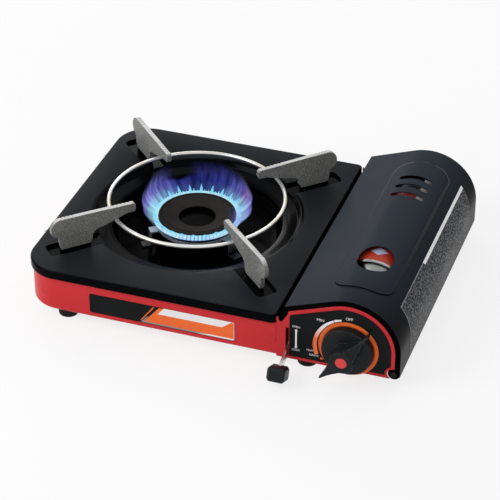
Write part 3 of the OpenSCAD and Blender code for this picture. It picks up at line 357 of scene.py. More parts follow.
def object_place(tree):
    """The place of a shaded point."""
    return add(tree, "ShaderNodeTexCoord").outputs["Object"]


def part_of(tree, vector, letter):
    """The X, Y or Z of a vector."""
    return add(tree, "ShaderNodeSeparateXYZ", {0: vector}).outputs[letter]


def face_normal(tree):
    """The normal of a shaded point."""
    return add(tree, "ShaderNodeNewGeometry").outputs["Normal"]


def ramp(tree, value, stops, ease="LINEAR"):
    """A colour ramp over a value, from (place, grey or colour) stops."""
    node = add(tree, "ShaderNodeValToRGB", {0: value})
    node.color_ramp.interpolation = ease
    points = node.color_ramp.elements
    while len(points) < len(stops):
        points.new(0.5)
    for point, (place, tone) in zip(points, stops):
        point.position = place
        rgb = (tone, tone, tone) if isinstance(tone, float) else tone
        point.color = (*rgb, 1.0)
    return node.outputs["Color"]


def blend_colour(tree, amount, first, second):
    """Two colours mixed by an amount."""
    node = add(tree, "ShaderNodeMix", {0: amount}, data_type="RGBA")
    for socket, value in zip((node.inputs[6], node.inputs[7]), (first, second)):
        if isinstance(value, bpy.types.NodeSocket):
            tree.links.new(value, socket)
        else:
            socket.default_value = (*value, 1.0)
    return node.outputs[2]


# ---------- Shared shader groups ----------


@node_group(
    "Soft Edge",
    SHADER_TREE,
    [("Radius", FLOAT, 0.0005), ("Breakup", FLOAT, 300.0)],
    [("Normal", VECTOR), ("Wear And Highlight", FLOAT)],
)
def soft_edge_group(tree, given):
    """Rounded edge normals, and a mask of the worn edges."""
    bevel = add(tree, "ShaderNodeBevel", {"Radius": given["Radius"]}, samples=8).outputs[0]
    turned = maths(tree, "SUBTRACT", 1.0, vector_maths(tree, "DOT_PRODUCT", bevel, face_normal(tree)))
    edge = maths(tree, "MULTIPLY", turned, 9.0, clamp=True)
    patches = ramp(tree, noise(tree, object_place(tree), given["Breakup"], 4.0), [(0.42, 0.0), (0.62, 1.0)])
    return {"Normal": bevel, "Wear And Highlight": product(tree, edge, patches)}


@node_group(
    "Coat Grain",
    SHADER_TREE,
    [("Scale", FLOAT, 1500.0), ("Stretch", VECTOR, (1.0, 1.0, 1.0))],
    [("Height", FLOAT), ("Mottle", FLOAT), ("Speck", FLOAT)],
)
def grain_group(tree, given):
    """Fine surface grain as a height, a slow mottle of the tone, and specks."""
    where = vector_maths(tree, "MULTIPLY", object_place(tree), given["Stretch"])
    slow = noise(tree, where, 26.0, 5.0, Roughness=0.6)
    dots = add(tree, "ShaderNodeTexVoronoi", {"Vector": where, "Scale": given["Scale"]}).outputs["Distance"]
    return {
        "Height": noise(tree, where, given["Scale"], 3.0),
        "Mottle": ramp(tree, slow, [(0.3, 0.0), (0.7, 1.0)]),
        "Speck": ramp(tree, dots, [(0.0, 1.0), (0.32, 0.0)]),
    }


@node_group("Settled Dust", SHADER_TREE, [("Amount", FLOAT, 0.1)], [("Film", FLOAT)])
def dust_group(tree, given):
    """A thin film on the faces that look upwards."""
    upward = ramp(tree, part_of(tree, face_normal(tree), "Z"), [(0.5, 0.0), (1.0, 1.0)])
    patches = ramp(tree, noise(tree, object_place(tree), 14.0, 6.0), [(0.35, 0.0), (0.75, 1.0)])
    return {"Film": product(tree, upward, patches, given["Amount"])}


@node_group(
    "Satin Coat And Painted Shade",
    SHADER_TREE,
    [
        ("Well Centre", VECTOR, ORIGIN),
        ("Well Radius", FLOAT, 0.0),
        ("Steepest", FLOAT, 0.5),
        ("Shade Below Height", FLOAT, 0.0),
    ],
    [("Satin", FLOAT)],
)
def satin_and_shade_group(tree, given):
    """Where a satin coat lies: on faces that look up, outside a round well. The rest is gloss."""
    upward = stretch(tree, part_of(tree, face_normal(tree), "Z"), given["Steepest"], 0.96)
    place = object_place(tree)
    level = vector_maths(tree, "MULTIPLY", vector_maths(tree, "SUBTRACT", place, given["Well Centre"]), LEVEL)
    past_well = maths(tree, "SUBTRACT", vector_maths(tree, "LENGTH", level), given["Well Radius"])
    outside = maths(tree, "MULTIPLY", past_well, 1.0 / MM, clamp=True)
    # Faces under the given height are left to the gloss black, as painted shade in recesses
    over_lowest = maths(tree, "SUBTRACT", part_of(tree, place, "Z"), given["Shade Below Height"])
    raised = maths(tree, "DIVIDE", over_lowest, 0.5 * MM, clamp=True)
    return {"Satin": product(tree, upward, outside, raised)}


@node_group(
    "Flame Streaks",
    SHADER_TREE,
    [("Centre", VECTOR, ORIGIN), ("Height", FLOAT, 0.036), ("Fineness", FLOAT, 9.0)],
    [("Turn", FLOAT), ("Rise", FLOAT), ("Streak", FLOAT)],
)
def flame_group(tree, given):
    """Where a point is in the flame: its turn round the burner, its height, and streaks that run up it."""
    moved = vector_maths(tree, "SUBTRACT", object_place(tree), given["Centre"])
    parts = add(tree, "ShaderNodeSeparateXYZ", {0: moved}).outputs
    turn = maths(tree, "DEGREES", maths(tree, "ARCTAN2", parts["Y"], parts["X"]))
    rise = maths(tree, "DIVIDE", parts["Z"], given["Height"], clamp=True)
    outward = vector_maths(tree, "NORMALIZE", vector_maths(tree, "MULTIPLY", moved, LEVEL))
    upward = add(tree, "ShaderNodeCombineXYZ", {"Z": product(tree, rise, 0.16)}).outputs[0]
    spot = vector_maths(tree, "ADD", outward, upward)
    streaks = noise(tree, spot, given["Fineness"], 3.0, Distortion=0.3)
    return {
        "Turn": maths(tree, "FLOORED_MODULO", turn, 360.0),
        "Rise": rise,
        "Streak": ramp(tree, streaks, [(0.34, 0.0), (0.68, 1.0)]),
    }


# ---------- Finishes ----------

_finishes = {}


class Finish:
    """A material whose Principled shader is fed by the shared groups."""

    def __init__(self, name):
        self.material = bpy.data.materials.new(name)
        self.material.use_nodes = True
        self.tree = self.material.node_tree
        self.shader = self.tree.nodes["Principled BSDF"]

    def group(self, tree, inputs):
        """The outputs of a shared group placed in this material, with its inputs set by name."""
        node = self.tree.nodes.new("ShaderNodeGroup")
        node.node_tree = tree
        for key, value in inputs.items():
            node.inputs[key].default_value = value
        return node.outputs

    def feed(self, sockets):
        """Values or links on the shader's sockets, by name."""
        for key, value in sockets.items():
            socket = self.shader.inputs[key]
            if isinstance(value, bpy.types.NodeSocket):
                self.tree.links.new(value, socket)
            elif isinstance(value, tuple):
                socket.default_value = (*value, 1.0)
            else:
                socket.default_value = value


def coat(
    name,
    base,
    rough,
    metallic=0.0,
    grain=1500.0,
    drawn=(1.0, 1.0, 1.0),
    depth=0.02,
    mottle=0.12,
    rough_spread=0.06,
    radius=0.0004,
    edge_wear_and_highlight=None,
    edge_wear_and_highlight_amount=0.5,
    speck=None,
    speck_amount=0.0,
    dust=0.0,
    gloss=0.5,
    clear=0.0,
    well=None,
    steepest=0.5,
    shade_below_height=0.0,
    fleck=None,
    fleck_amount=0.0,
    top=None,
    tint=(1.0, 1.0, 1.0),
):
    """A finish with soft edges, grain, mottle, wear and dust. Made once for each name.

    base is a colour, or a function that gives the tone from the material's tree.
    """
    if name in _finishes:
        return _finishes[name]
    made = Finish(name)
    tree = made.tree
    edge = made.group(soft_edge_group(), {"Radius": radius})
    texture = made.group(grain_group(), {"Scale": grain, "Stretch": drawn})
    if callable(base):
        tone = base(tree)
    else:
        dark = tuple(c * (1 - mottle) for c in base)
        light = tuple(min(1.0, c * (1 + mottle)) for c in base)
        tone = blend_colour(tree, texture["Mottle"], dark, light)
    if speck is not None:
        tone = blend_colour(tree, product(tree, texture["Speck"], speck_amount), tone, speck)
    if fleck is not None:
        patches = ramp(tree, texture["Height"], [(0.42, 1.0), (0.56, 0.0)])
        tone = blend_colour(tree, product(tree, patches, fleck_amount), tone, fleck)
    # Faces that look up take a paler tone, a painted highlight of light from above
    if top is not None:
        tone = blend_colour(tree, made.group(satin_and_shade_group(), {"Steepest": 0.6})["Satin"], tone, top)
    # Paler edges: painted highlight lines on most finishes, and wear on bare metal
    if edge_wear_and_highlight is not None:
        tone = blend_colour(tree, product(tree, edge["Wear And Highlight"], edge_wear_and_highlight_amount), tone, edge_wear_and_highlight)
    if dust > 0:
        film = made.group(dust_group(), {"Amount": dust})["Film"]
        tone = blend_colour(tree, film, tone, (0.42, 0.41, 0.39))
    spread = product(tree, texture["Mottle"], 2 * rough_spread)
    roughness = maths(tree, "ADD", spread, rough - rough_spread, clamp=True)
    # Where the mask is clear, gloss black: the real gloss of the plate's well, and painted shade on steep
    # faces, undersides and low faces
    if well is not None:
        where = {"Well Centre": tuple(BURNER), "Well Radius": well, "Steepest": steepest, "Shade Below Height": shade_below_height}
        satin = made.group(satin_and_shade_group(), where)["Satin"]
        tone = blend_colour(tree, satin, tuple(colours().gloss_black_and_shade), tone)
        roughness = stretch(tree, satin, 0.0, 1.0, 0.16, roughness)
    relief = {"Strength": 1.0, "Distance": depth * MM, "Height": texture["Height"], "Normal": edge["Normal"]}
    made.feed(
        {
            "Base Color": tone,
            "Roughness": roughness,
            "Metallic": metallic,
            "Specular IOR Level": gloss,
            "Specular Tint": tint,
            "Coat Weight": clear,
            "Normal": add(tree, "ShaderNodeBump", relief).outputs["Normal"],
        }
    )
    _finishes[name] = made.material
    return made.material


def finish_for(slot):
    """The finish of one of the record's material slots, or of a print of its own."""
    c = colours()
    grey = (0.75, 0.75, 0.76)
    # Paler edge tones: painted highlight lines on the red paint, the charcoal plate, the bowl enamel, the black
    # plastic and the sintered legs; wear on bare zinc, bright steel, tinplate and burner iron
    table = {
        "red_paint": ("case_red", c.case_red, 0.32, dict(
            grain=2600, depth=0.006, mottle=0.05, gloss=0.12, radius=0.0007, edge_wear_and_highlight=(0.60, 0.10, 0.10),
            edge_wear_and_highlight_amount=0.30)),
        # The plate's rolled edges, steep faces and pockets take gloss black as painted shade; inside the well
        # it is the real gloss
        "charcoal_paint": ("plate_satin_painted_light", c.plate_black, 0.44, dict(
            grain=3200, depth=0.010, mottle=0.10, rough_spread=0.04, radius=0.0008, edge_wear_and_highlight=(0.11, 0.115, 0.12),
            edge_wear_and_highlight_amount=0.45, gloss=0.026, well=PLATE_WELL, steepest=0.85, shade_below_height=PLATE_TOP - PLATE_SHADE_DROP,
            tint=(0.78, 0.88, 1.0))),
        "black_enamel": ("bowl_enamel", c.enamel_black, 0.12, dict(
            grain=180, mottle=0.2, rough_spread=0.04, radius=0.0012, edge_wear_and_highlight=(0.04, 0.04, 0.045), gloss=0.006)),
        "zinc_steel": ("zinc_sheet", (0.44, 0.45, 0.46), 0.38, dict(
            metallic=1.0, edge_wear_and_highlight=grey, grain=420, drawn=(1, 1, 7), depth=0.004)),
        "bright_steel": ("bright_plate", (0.68, 0.68, 0.69), 0.20, dict(
            metallic=1.0, edge_wear_and_highlight=grey, grain=900, drawn=(1, 6, 1), depth=0.002, mottle=0.08)),
        "tinplate": ("tinplate", (0.28, 0.29, 0.295), 0.26, dict(
            metallic=1.0, edge_wear_and_highlight=grey, grain=260, drawn=(1, 9, 1), depth=0.003, mottle=0.10, rough_spread=0.05)),
        # The burner head's steep sides and underside take gloss black as painted shade; inside the dish radius
        # it is gloss black too
        "dark_iron": ("burner_iron", (0.027, 0.024, 0.022), 0.55, dict(
            grain=1400, depth=0.03, mottle=0.22, gloss=0.008, edge_wear_and_highlight=(0.07, 0.06, 0.05),
            speck=(0.04, 0.036, 0.032), speck_amount=0.3, well=DISH_RADIUS, steepest=0.0)),
        # The legs' paler upward faces and edges are painted highlights
        "leg_enamel": ("leg_sinter", c.leg_grey, 0.50, dict(
            grain=760, depth=0.12, mottle=0.22, rough_spread=0.10, radius=0.0009, gloss=0.35,
            edge_wear_and_highlight=(0.56, 0.55, 0.52), edge_wear_and_highlight_amount=0.9, speck=(0.42, 0.42, 0.40), speck_amount=0.6,
            fleck=(0.085, 0.085, 0.08), fleck_amount=0.7, top=(0.62, 0.62, 0.60))),
        "brass": ("turned_brass", (0.60, 0.40, 0.15), 0.25, dict(metallic=1.0, grain=900, depth=0.004)),
        "rubber": ("foot_rubber", (0.006, 0.006, 0.0065), 0.72, dict(
            grain=1300, depth=0.03, mottle=0.3, gloss=0.15, dust=0.04)),
        "black_plastic": ("moulded_black", c.knob_black, 0.34, dict(
            grain=2400, depth=0.008, mottle=0.15, radius=0.0007, edge_wear_and_highlight=(0.16, 0.17, 0.18), edge_wear_and_highlight_amount=0.7,
            gloss=0.12)),
        "red_plastic": ("cap_red", c.cap_red, 0.34, dict(
            grain=2000, depth=0.004, mottle=0.06, radius=0.0003, gloss=0.1)),
        "nylon": ("nylon", (0.60, 0.56, 0.46), 0.50, dict(depth=0.01)),
        "ceramic": ("glazed_ceramic", (0.74, 0.72, 0.65), 0.22, dict(grain=500, depth=0.01, clear=0.3)),
        "silicone": ("silicone_sleeve", (0.55, 0.55, 0.52), 0.60, dict(grain=1200, depth=0.01)),
        "can_paint": ("cartridge_print_and_painted_light", cartridge_print_and_painted_light, 0.28, dict(
            grain=900, depth=0.003, radius=0.0003, gloss=0.08)),
        "black_print": ("panel_film", (0.0085, 0.0092, 0.0098), 0.30, dict(
            grain=700, depth=0.003, mottle=0.15, radius=0.0002, gloss=0.05)),
        "orange_print": ("dial_orange", c.dial_orange, 0.32, dict(
            grain=1800, depth=0.003, mottle=0.05, radius=0.0002, gloss=0.1)),
        "orange_dial": ("dial_ring_print_painted_shadow", dial_painted_shadow, 0.32, dict(
            grain=1800, depth=0.003, radius=0.0002, gloss=0.1)),
        "white_print": ("print_white", (0.80, 0.80, 0.80), 0.35, dict(depth=0.002, mottle=0.04, radius=0.0001)),
    }
    name, base, rough, look = table[slot]
    return coat(name, base, rough, **look)


def round_the_bay(tree, centre):
    """Angle in degrees about a line along the bay, from +X towards +Z."""
    moved = vector_maths(tree, "SUBTRACT", object_place(tree), tuple(centre))
    parts = add(tree, "ShaderNodeSeparateXYZ", {0: moved}).outputs
    return maths(tree, "DEGREES", maths(tree, "ARCTAN2", parts["Z"], parts["X"]))


def along_bay(tree):
    """The place along the bay, from the front to the back."""
    return part_of(tree, object_place(tree), "Y")


def distance_from(tree, value, middle):
    """How far a value is from a middle value."""
    return maths(tree, "ABSOLUTE", maths(tree, "SUBTRACT", value, middle))


def within(tree, value, low, high):
    """One where a value lies between two limits."""
    return product(tree, maths(tree, "GREATER_THAN", value, low), maths(tree, "LESS_THAN", value, high))


def cartridge_print_and_painted_light(tree):
    """Plain print: red, a pale diamond near the front, a dark rear band and a pale stripe across it."""
    angle = round_the_bay(tree, CAN)
    along = along_bay(tree)
    turned = maths(tree, "DIVIDE", distance_from(tree, angle, HIGHLIGHT_PATCH_TURN), HIGHLIGHT_PATCH_HALF_TURN)
    moved = maths(tree, "DIVIDE", distance_from(tree, along, HIGHLIGHT_PATCH_Y), HIGHLIGHT_PATCH_HALF_LENGTH)
    highlight_patch = maths(tree, "LESS_THAN", maths(tree, "ADD", turned, moved), 1.0)
    shaded_rear = maths(tree, "GREATER_THAN", along, SHADED_REAR_Y)
    # A painted highlight streak along the cartridge
    stripe = product(tree, within(tree, angle, *HIGHLIGHT_STREAK_TURNS), maths(tree, "GREATER_THAN", along, HIGHLIGHT_STREAK_Y))
    # Painted shade at the rear, then the painted highlight streak and the painted highlight patch
    tone = blend_colour(tree, shaded_rear, colours().can_red, (0.012, 0.012, 0.015))
    tone = blend_colour(tree, stripe, tone, (0.66, 0.64, 0.66))
    return blend_colour(tree, highlight_patch, tone, (0.42, 0.48, 0.70))


def dome_painted_reflection(tree):
    """Tinplate that is brightest on top, as it shows in the lid's window."""
    aside = distance_from(tree, round_the_bay(tree, CAN), DOME_REFLECTION_TURN)
    share = stretch(tree, aside, 8.0, 34.0, 1.0, 0.0, ease="SMOOTHSTEP")
    return blend_colour(tree, share, (0.022, 0.025, 0.022), (0.24, 0.25, 0.24))


def lid_tone_and_painted_light(tree):
    """The lid's satin tone, paler along the raised panel's edge behind, and darker at the front."""
    parts = add(tree, "ShaderNodeSeparateXYZ", {0: object_place(tree)}).outputs
    off = [maths(tree, "SUBTRACT", parts[i], PANEL_EDGE_CENTRE[i]) for i in range(2)]
    past = [maths(tree, "SUBTRACT", maths(tree, "ABSOLUTE", off[i]), PANEL_EDGE_FLAT[i]) for i in range(2)]
    corner = {i: maths(tree, "MAXIMUM", past[i], 0.0) for i in range(2)}
    corner = add(tree, "ShaderNodeCombineXYZ", corner).outputs[0]
    off_edge = distance_from(tree, vector_maths(tree, "LENGTH", corner), PANEL_EDGE_BEND)
    # A painted highlight line along the panel's edge, kept to the back and the right
    line = stretch(tree, off_edge, 0.3 * MM, 0.8 * MM, 1.0, 0.0)
    lean = maths(tree, "ADD", product(tree, off[0], 1.6), off[1])
    behind = stretch(tree, lean, -0.05, 0.05, 0.0, 0.8)
    # Painted shade towards the lid's front
    shade = stretch(tree, parts["Y"], *LID_SHADE_Y, 0.6, 0.0)
    tone = blend_colour(tree, shade, tuple(colours().lid_black), (0.004, 0.004, 0.0045))
    return blend_colour(tree, product(tree, line, behind), tone, (0.115, 0.118, 0.124))


def stand_painted_shade(tree):
    """Bare sheet at the stand's collar, darkened by heat and soot towards its feet."""
    place = object_place(tree)
    share = stretch(tree, part_of(tree, place, "Z"), STAND_LOW.z + 3 * MM, STAND_HIGH.z)
    patches = ramp(tree, noise(tree, place, 160.0, 4.0), [(0.35, 0.75), (0.65, 1.0)])
    return blend_colour(tree, product(tree, share, patches), (0.018, 0.018, 0.020), (0.36, 0.37, 0.39))


def ring_tone_and_reflection(tree):
    """Plated wire with straw-coloured heat tint in places."""
    heat_tint_and_reflection = ramp(tree, noise(tree, object_place(tree), 13.0, 3.0), [(0.50, 0.0), (0.62, 0.85)])
    return blend_colour(tree, heat_tint_and_reflection, tuple(colours().ring_steel), (0.50, 0.43, 0.30))


def label_print(tree):
    """A bare dark field with a fine mottle, a pale strip along its upper edge and a thin frame."""
    angle = round_the_bay(tree, LID_AXIS)
    along = along_bay(tree)
    fine = noise(tree, vector_maths(tree, "MULTIPLY", object_place(tree), LABEL_GRAIN), 900.0, 3.0)
    mottle = ramp(tree, fine, [(0.46, 0.0), (0.60, 1.0)])
    field = blend_colour(tree, mottle, (0.006, 0.007, 0.009), (0.170, 0.172, 0.180))
    slanted = maths(tree, "ADD", along, product(tree, angle, STRIP_SLANT))
    started = maths(tree, "GREATER_THAN", slanted, STRIP_START)
    strip = product(tree, within(tree, angle, *STRIP_TURNS), started)
    rule_top = RULE_TURN + RULE_WIDTH_TURN
    rule = product(tree, within(tree, angle, RULE_TURN, rule_top), maths(tree, "LESS_THAN", along, RULE_END))
    at_front = maths(tree, "LESS_THAN", along, LABEL_FRONT + RULE_WIDTH)
    front = product(tree, at_front, maths(tree, "LESS_THAN", angle, rule_top))
    tone = blend_colour(tree, maths(tree, "MAXIMUM", rule, front), field, (0.26, 0.26, 0.27))
    return blend_colour(tree, strip, tone, (1.0, 1.0, 1.0))


def dial_painted_shadow(tree):
    """The dial's orange, darkening towards the knob."""
    moved = vector_maths(tree, "SUBTRACT", object_place(tree), tuple(DIAL))
    level = vector_maths(tree, "MULTIPLY", moved, (1.0, 0.0, 1.0))
    share = stretch(tree, vector_maths(tree, "LENGTH", level), 22.3 * MM, 24.0 * MM)
    return blend_colour(tree, share, (0.05, 0.012, 0.004), tuple(colours().dial_orange))


def scale_tone(tree):
    """White at the low end of the scale, orange at the high end."""
    turned = maths(tree, "FLOORED_MODULO", round_the_bay(tree, DIAL), 360.0)
    share = stretch(tree, turned, 144.0, 172.0)
    return blend_colour(tree, share, (0.86, 0.86, 0.85), colours().dial_orange)


# ---------- Mesh helpers ----------


def new_object(name, data):
    """An object for a mesh, a curve, a lamp or a camera, linked to the scene."""
    made = bpy.data.objects.new(name, data)
    bpy.context.scene.collection.objects.link(made)
    return made


def settled_mesh(carrier):
    """A plain mesh of what the carrier's modifiers give. The carrier and its source go."""
    graph = bpy.context.evaluated_depsgraph_get()
    mesh = bpy.data.meshes.new_from_object(carrier.evaluated_get(graph), depsgraph=graph)
    bpy.data.batch_remove((carrier, carrier.data))
    mesh.materials.clear()
    return mesh


def piece_from(name, mesh, body, material):
    """A finished mesh as a piece that rides on a body."""
    mesh.materials.append(material)
    piece = new_object(name, mesh)
    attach(piece, body)
    return piece


def finished_mesh(made, name):
    """The mesh of a bmesh, with its faces outward."""
    bmesh.ops.recalc_face_normals(made, faces=made.faces)
    mesh = bpy.data.meshes.new(name)
    made.to_mesh(mesh)
    made.free()
    return mesh


def run_tree(carrier, tree, values):
    """Puts the geometry tree on the carrier, with its inputs set by name."""
    modifier = carrier.modifiers.new(tree.name, "NODES")
    modifier.node_group = tree
    for item in tree.interface.items_tree:
        if item.item_type == "SOCKET" and item.in_out == "INPUT" and item.name in values:
            modifier[item.identifier] = values[item.name]


def shade_smooth(tree, geometry, **settings):
    """Geometry shaded smooth."""
    node = add(tree, "GeometryNodeSetShadeSmooth", {"Geometry": geometry, "Shade Smooth": True}, **settings)
    return node.outputs[0]


def finished_geometry(tree, geometry, material):
    """How every geometry tree ends: real geometry, with its material."""
    real = add(tree, "GeometryNodeRealizeInstances", {"Geometry": geometry}).outputs[0]
    final = add(tree, "GeometryNodeSetMaterial", {"Geometry": real, "Material": material})
    return {"Geometry": final.outputs[0]}


@node_group(
    "Smooth Skin",
    GEOMETRY_TREE,
    [
        ("Geometry", GEOMETRY, None),
        ("Join Distance", FLOAT, 0.000002),
        ("Limit Angle", FLOAT, SMOOTH_LIMIT),
        ("Finish", MATERIAL, None),
    ],
    [("Geometry", GEOMETRY)],
)
def smooth_skin_tree(tree, given):
    """Joins loose triangles and shades them smooth up to a limit angle."""
    inputs = {"Geometry": given["Geometry"], "Distance": given["Join Distance"]}
    joined = add(tree, "GeometryNodeMergeByDistance", inputs).outputs[0]
    angle = add(tree, "GeometryNodeInputMeshEdgeAngle").outputs["Unsigned Angle"]
    compared = {0: angle, 1: given["Limit Angle"]}
    sharp = add(tree, "FunctionNodeCompare", compared, data_type="FLOAT", operation="GREATER_THAN").outputs[0]
    inputs = {"Geometry": shade_smooth(tree, joined), "Selection": sharp, "Shade Smooth": False}
    crisp = add(tree, "GeometryNodeSetShadeSmooth", inputs, domain="EDGE").outputs[0]
    return finished_geometry(tree, crisp, given["Finish"])


def skin(node, material=None):
    """A smooth-shaded piece that stands for a CAD node of the same shape."""
    source = NODES[node]
    mesh = source.data.copy()
    custom = mesh.attributes.get("custom_normal")
    if custom:
        mesh.attributes.remove(custom)
    slot = SLOT_OF[node]
    material = material or finish_for(slot)
    carrier = new_object(node + "_raw", mesh)
    run_tree(carrier, smooth_skin_tree(), {"Limit Angle": SMOOTH_LIMIT, "Finish": material})
    piece = piece_from(node + "_skin", settled_mesh(carrier), source["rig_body"], material)
    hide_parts(node)


def dress(*nodes):
    """Skins for CAD nodes, with their slots' finishes."""
    for node in nodes:
        skin(node)


def plate_mesh(name, outline, bottom, top, place):
    """A thin plate with this flat outline, between two heights, moved by a matrix."""
    made = bmesh.new()
    low = [made.verts.new(place @ Vector((x, y, bottom))) for x, y in outline]
    high = [made.verts.new(place @ Vector((x, y, top))) for x, y in outline]
    made.faces.new(high)
    made.faces.new(low[::-1])
    for i in range(len(outline)):
        made.faces.new((low[i - 1], low[i], high[i], high[i - 1]))
    return finished_mesh(made, name)


def facing_front(y):
    """Turns flat x and y into x and z on a front face at depth y, with thickness towards the front."""
    return Matrix(((1, 0, 0, 0), (0, 0, -1, y), (0, 1, 0, 0), (0, 0, 0, 1)))


def circle_points(radius, sides):
    """Points on a circle about the origin."""
    turns = [2 * math.pi * i / sides for i in range(sides)]
    return [(radius * math.cos(a), radius * math.sin(a)) for a in turns]


def arc_points(radii, start, end, count, centre=(DIAL.x, DIAL.z)):
    """Points on an arc whose radius, in millimetres, goes from one to another between two turns."""
    points = []
    for i in range(count + 1):
        t = i / count
        a = math.radians(start + (end - start) * t)
        r = (radii[0] + (radii[1] - radii[0]) * t) * MM
        points.append((centre[0] + r * math.cos(a), centre[1] + r * math.sin(a)))
    return points


def band_outline(bands):
    """Round the outer side of bands about the dial, and back along the inner side."""
    outer = []
    inner = []
    for inner_radii, outer_radii, *turns in bands:
        outer += arc_points(outer_radii, *turns)
        inner += arc_points(inner_radii, *turns)
    return outer + inner[::-1]


# ---------- Trivet ring ----------


@node_group(
    "Trivet Ring",
    GEOMETRY_TREE,
    [
        ("Ring Radius", FLOAT, 0.08),
        ("Wire Radius", FLOAT, 0.0018),
        ("Place", VECTOR, ORIGIN),
        ("Finish", MATERIAL, None),
    ],
    [("Geometry", GEOMETRY)],
)
def ring_tree(tree, given):
    """A wire swept round a circle."""
    kind = "GeometryNodeCurvePrimitiveCircle"
    circle = add(tree, kind, {"Resolution": 160, "Radius": given["Ring Radius"]}).outputs["Curve"]
    section = add(tree, kind, {"Resolution": 20, "Radius": given["Wire Radius"]}).outputs["Curve"]
    wire = add(tree, "GeometryNodeCurveToMesh", {"Curve": circle, "Profile Curve": section}).outputs[0]
    inputs = {"Geometry": shade_smooth(tree, wire), "Translation": given["Place"]}
    moved = add(tree, "GeometryNodeTransform", inputs).outputs[0]
    return finished_geometry(tree, moved, given["Finish"])


def make_ring():
    """The trivet's plated ring."""
    material = coat("ring_plate_tint_and_reflection", ring_tone_and_reflection, 0.30, metallic=0.8, grain=500, depth=0.004, radius=0.0002)
    values = {
        "Ring Radius": (RING_HIGH.x - RING_LOW.x) / 2 - (RING_HIGH.z - RING_LOW.z) / 2,
        "Wire Radius": sizes().wire_radius,
        "Place": tuple((RING_LOW + RING_HIGH) / 2),
        "Finish": material,
    }
    carrier = new_object("ring_raw", bpy.data.meshes.new("ring_raw"))
    run_tree(carrier, ring_tree(), values)
    piece = piece_from("trivet_ring_wire", settled_mesh(carrier), "trivet", material)
    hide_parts("trivet_ring")


# ---------- Flame ----------


def glowing(name, low, height, fineness):
    """A finish that only gives light, with its place in the flame: turn, rise and streak."""
    made = Finish(name)
    where = {"Centre": (BURNER.x, BURNER.y, low), "Height": height, "Fineness": fineness}
    flow = made.group(flame_group(), where)
    made.feed({"Base Color": ORIGIN, "Roughness": 1.0, "Specular IOR Level": 0.0, "Emission Strength": 1.0})
    return made, flow["Turn"], flow["Rise"], flow["Streak"]


def round_the_burner(tree, turn, stops):
    """A value that changes round the burner, from (degrees, value) stops."""
    return ramp(tree, maths(tree, "DIVIDE", turn, 360.0), [(a / 360.0, v) for a, v in stops], "EASE")


def veil_finish(low, height):
    """Blue gas that burns palest at two sides, with a dark gap behind and a clear front."""
    c = colours()
    made, turn, rise, streak = glowing("flame_body", low, height, 11.0)
    tree = made.tree
    amount = round_the_burner(
        tree,
        turn,
        [(0, 0.86), (30, 0.84), (62, 0.46), (95, 0.26), (120, 0.24), (150, 0.50), (182, 0.86), (212, 0.86),
         (238, 0.0), (322, 0.0), (345, 0.80), (360, 0.86)],
    )
    pale = round_the_burner(
        tree,
        turn,
        [(0, 0.85), (28, 0.85), (60, 0.40), (85, 0.10), (130, 0.10), (160, 0.50), (190, 0.90), (225, 0.80),
         (330, 0.80), (360, 0.85)],
    )
    # The gap is a U that widens with height
    half_gap = stretch(tree, rise, 0.22, 0.46, -14.0, GAP_HALF_TURN, ease="SMOOTHERSTEP")
    past_gap = maths(tree, "SUBTRACT", distance_from(tree, turn, GAP_TURN), half_gap)
    gap = ramp(tree, maths(tree, "DIVIDE", past_gap, 20.0, clamp=True), [(0.0, 0.0), (1.0, 1.0)], "EASE")
    fade = ramp(tree, rise, [(0.0, 0.95), (0.15, 0.88), (0.36, 0.74), (0.58, 0.36), (0.82, 0.10), (1.0, 0.0)])
    lively = maths(tree, "ADD", product(tree, streak, 0.75), 0.42)
    body = maths(tree, "MULTIPLY", product(tree, amount, gap, fade), lively, clamp=True)
    facing = add(tree, "ShaderNodeLayerWeight", {"Blend": 0.5}).outputs["Facing"]
    soft = ramp(tree, facing, [(0.40, 1.0), (0.97, 0.0)], "EASE")
    paler = maths(tree, "ADD", product(tree, streak, 0.65), 0.35)
    tone = blend_colour(tree, maths(tree, "MULTIPLY", pale, paler, clamp=True), c.flame_blue, c.flame_violet)
    warm = product(tree, within(tree, turn, 34.0, 48.0), 0.28)
    tone = blend_colour(tree, warm, tone, (0.62, 0.22, 0.42))
    foot = product(tree, ramp(tree, rise, [(0.06, 1.0), (0.30, 0.0)], "EASE"), pale)
    tone = blend_colour(tree, foot, tone, (0.42, 0.88, 1.0))
    made.feed({"Alpha": product(tree, body, soft), "Emission Color": tone})
    return made.material


def jet_finish(low, height):
    """Pale cyan feet that turn blue towards clear tips."""
    made, _turn, rise, _streak = glowing("flame_core", low, height, 30.0)
    tree = made.tree
    higher = ramp(tree, rise, [(0.25, 0.0), (1.0, 1.0)])
    tone = blend_colour(tree, higher, colours().flame_core, (0.12, 0.34, 0.95))
    made.feed({"Emission Color": tone, "Alpha": ramp(tree, rise, [(0.0, 1.0), (0.5, 0.92), (1.0, 0.25)])})
    return made.material


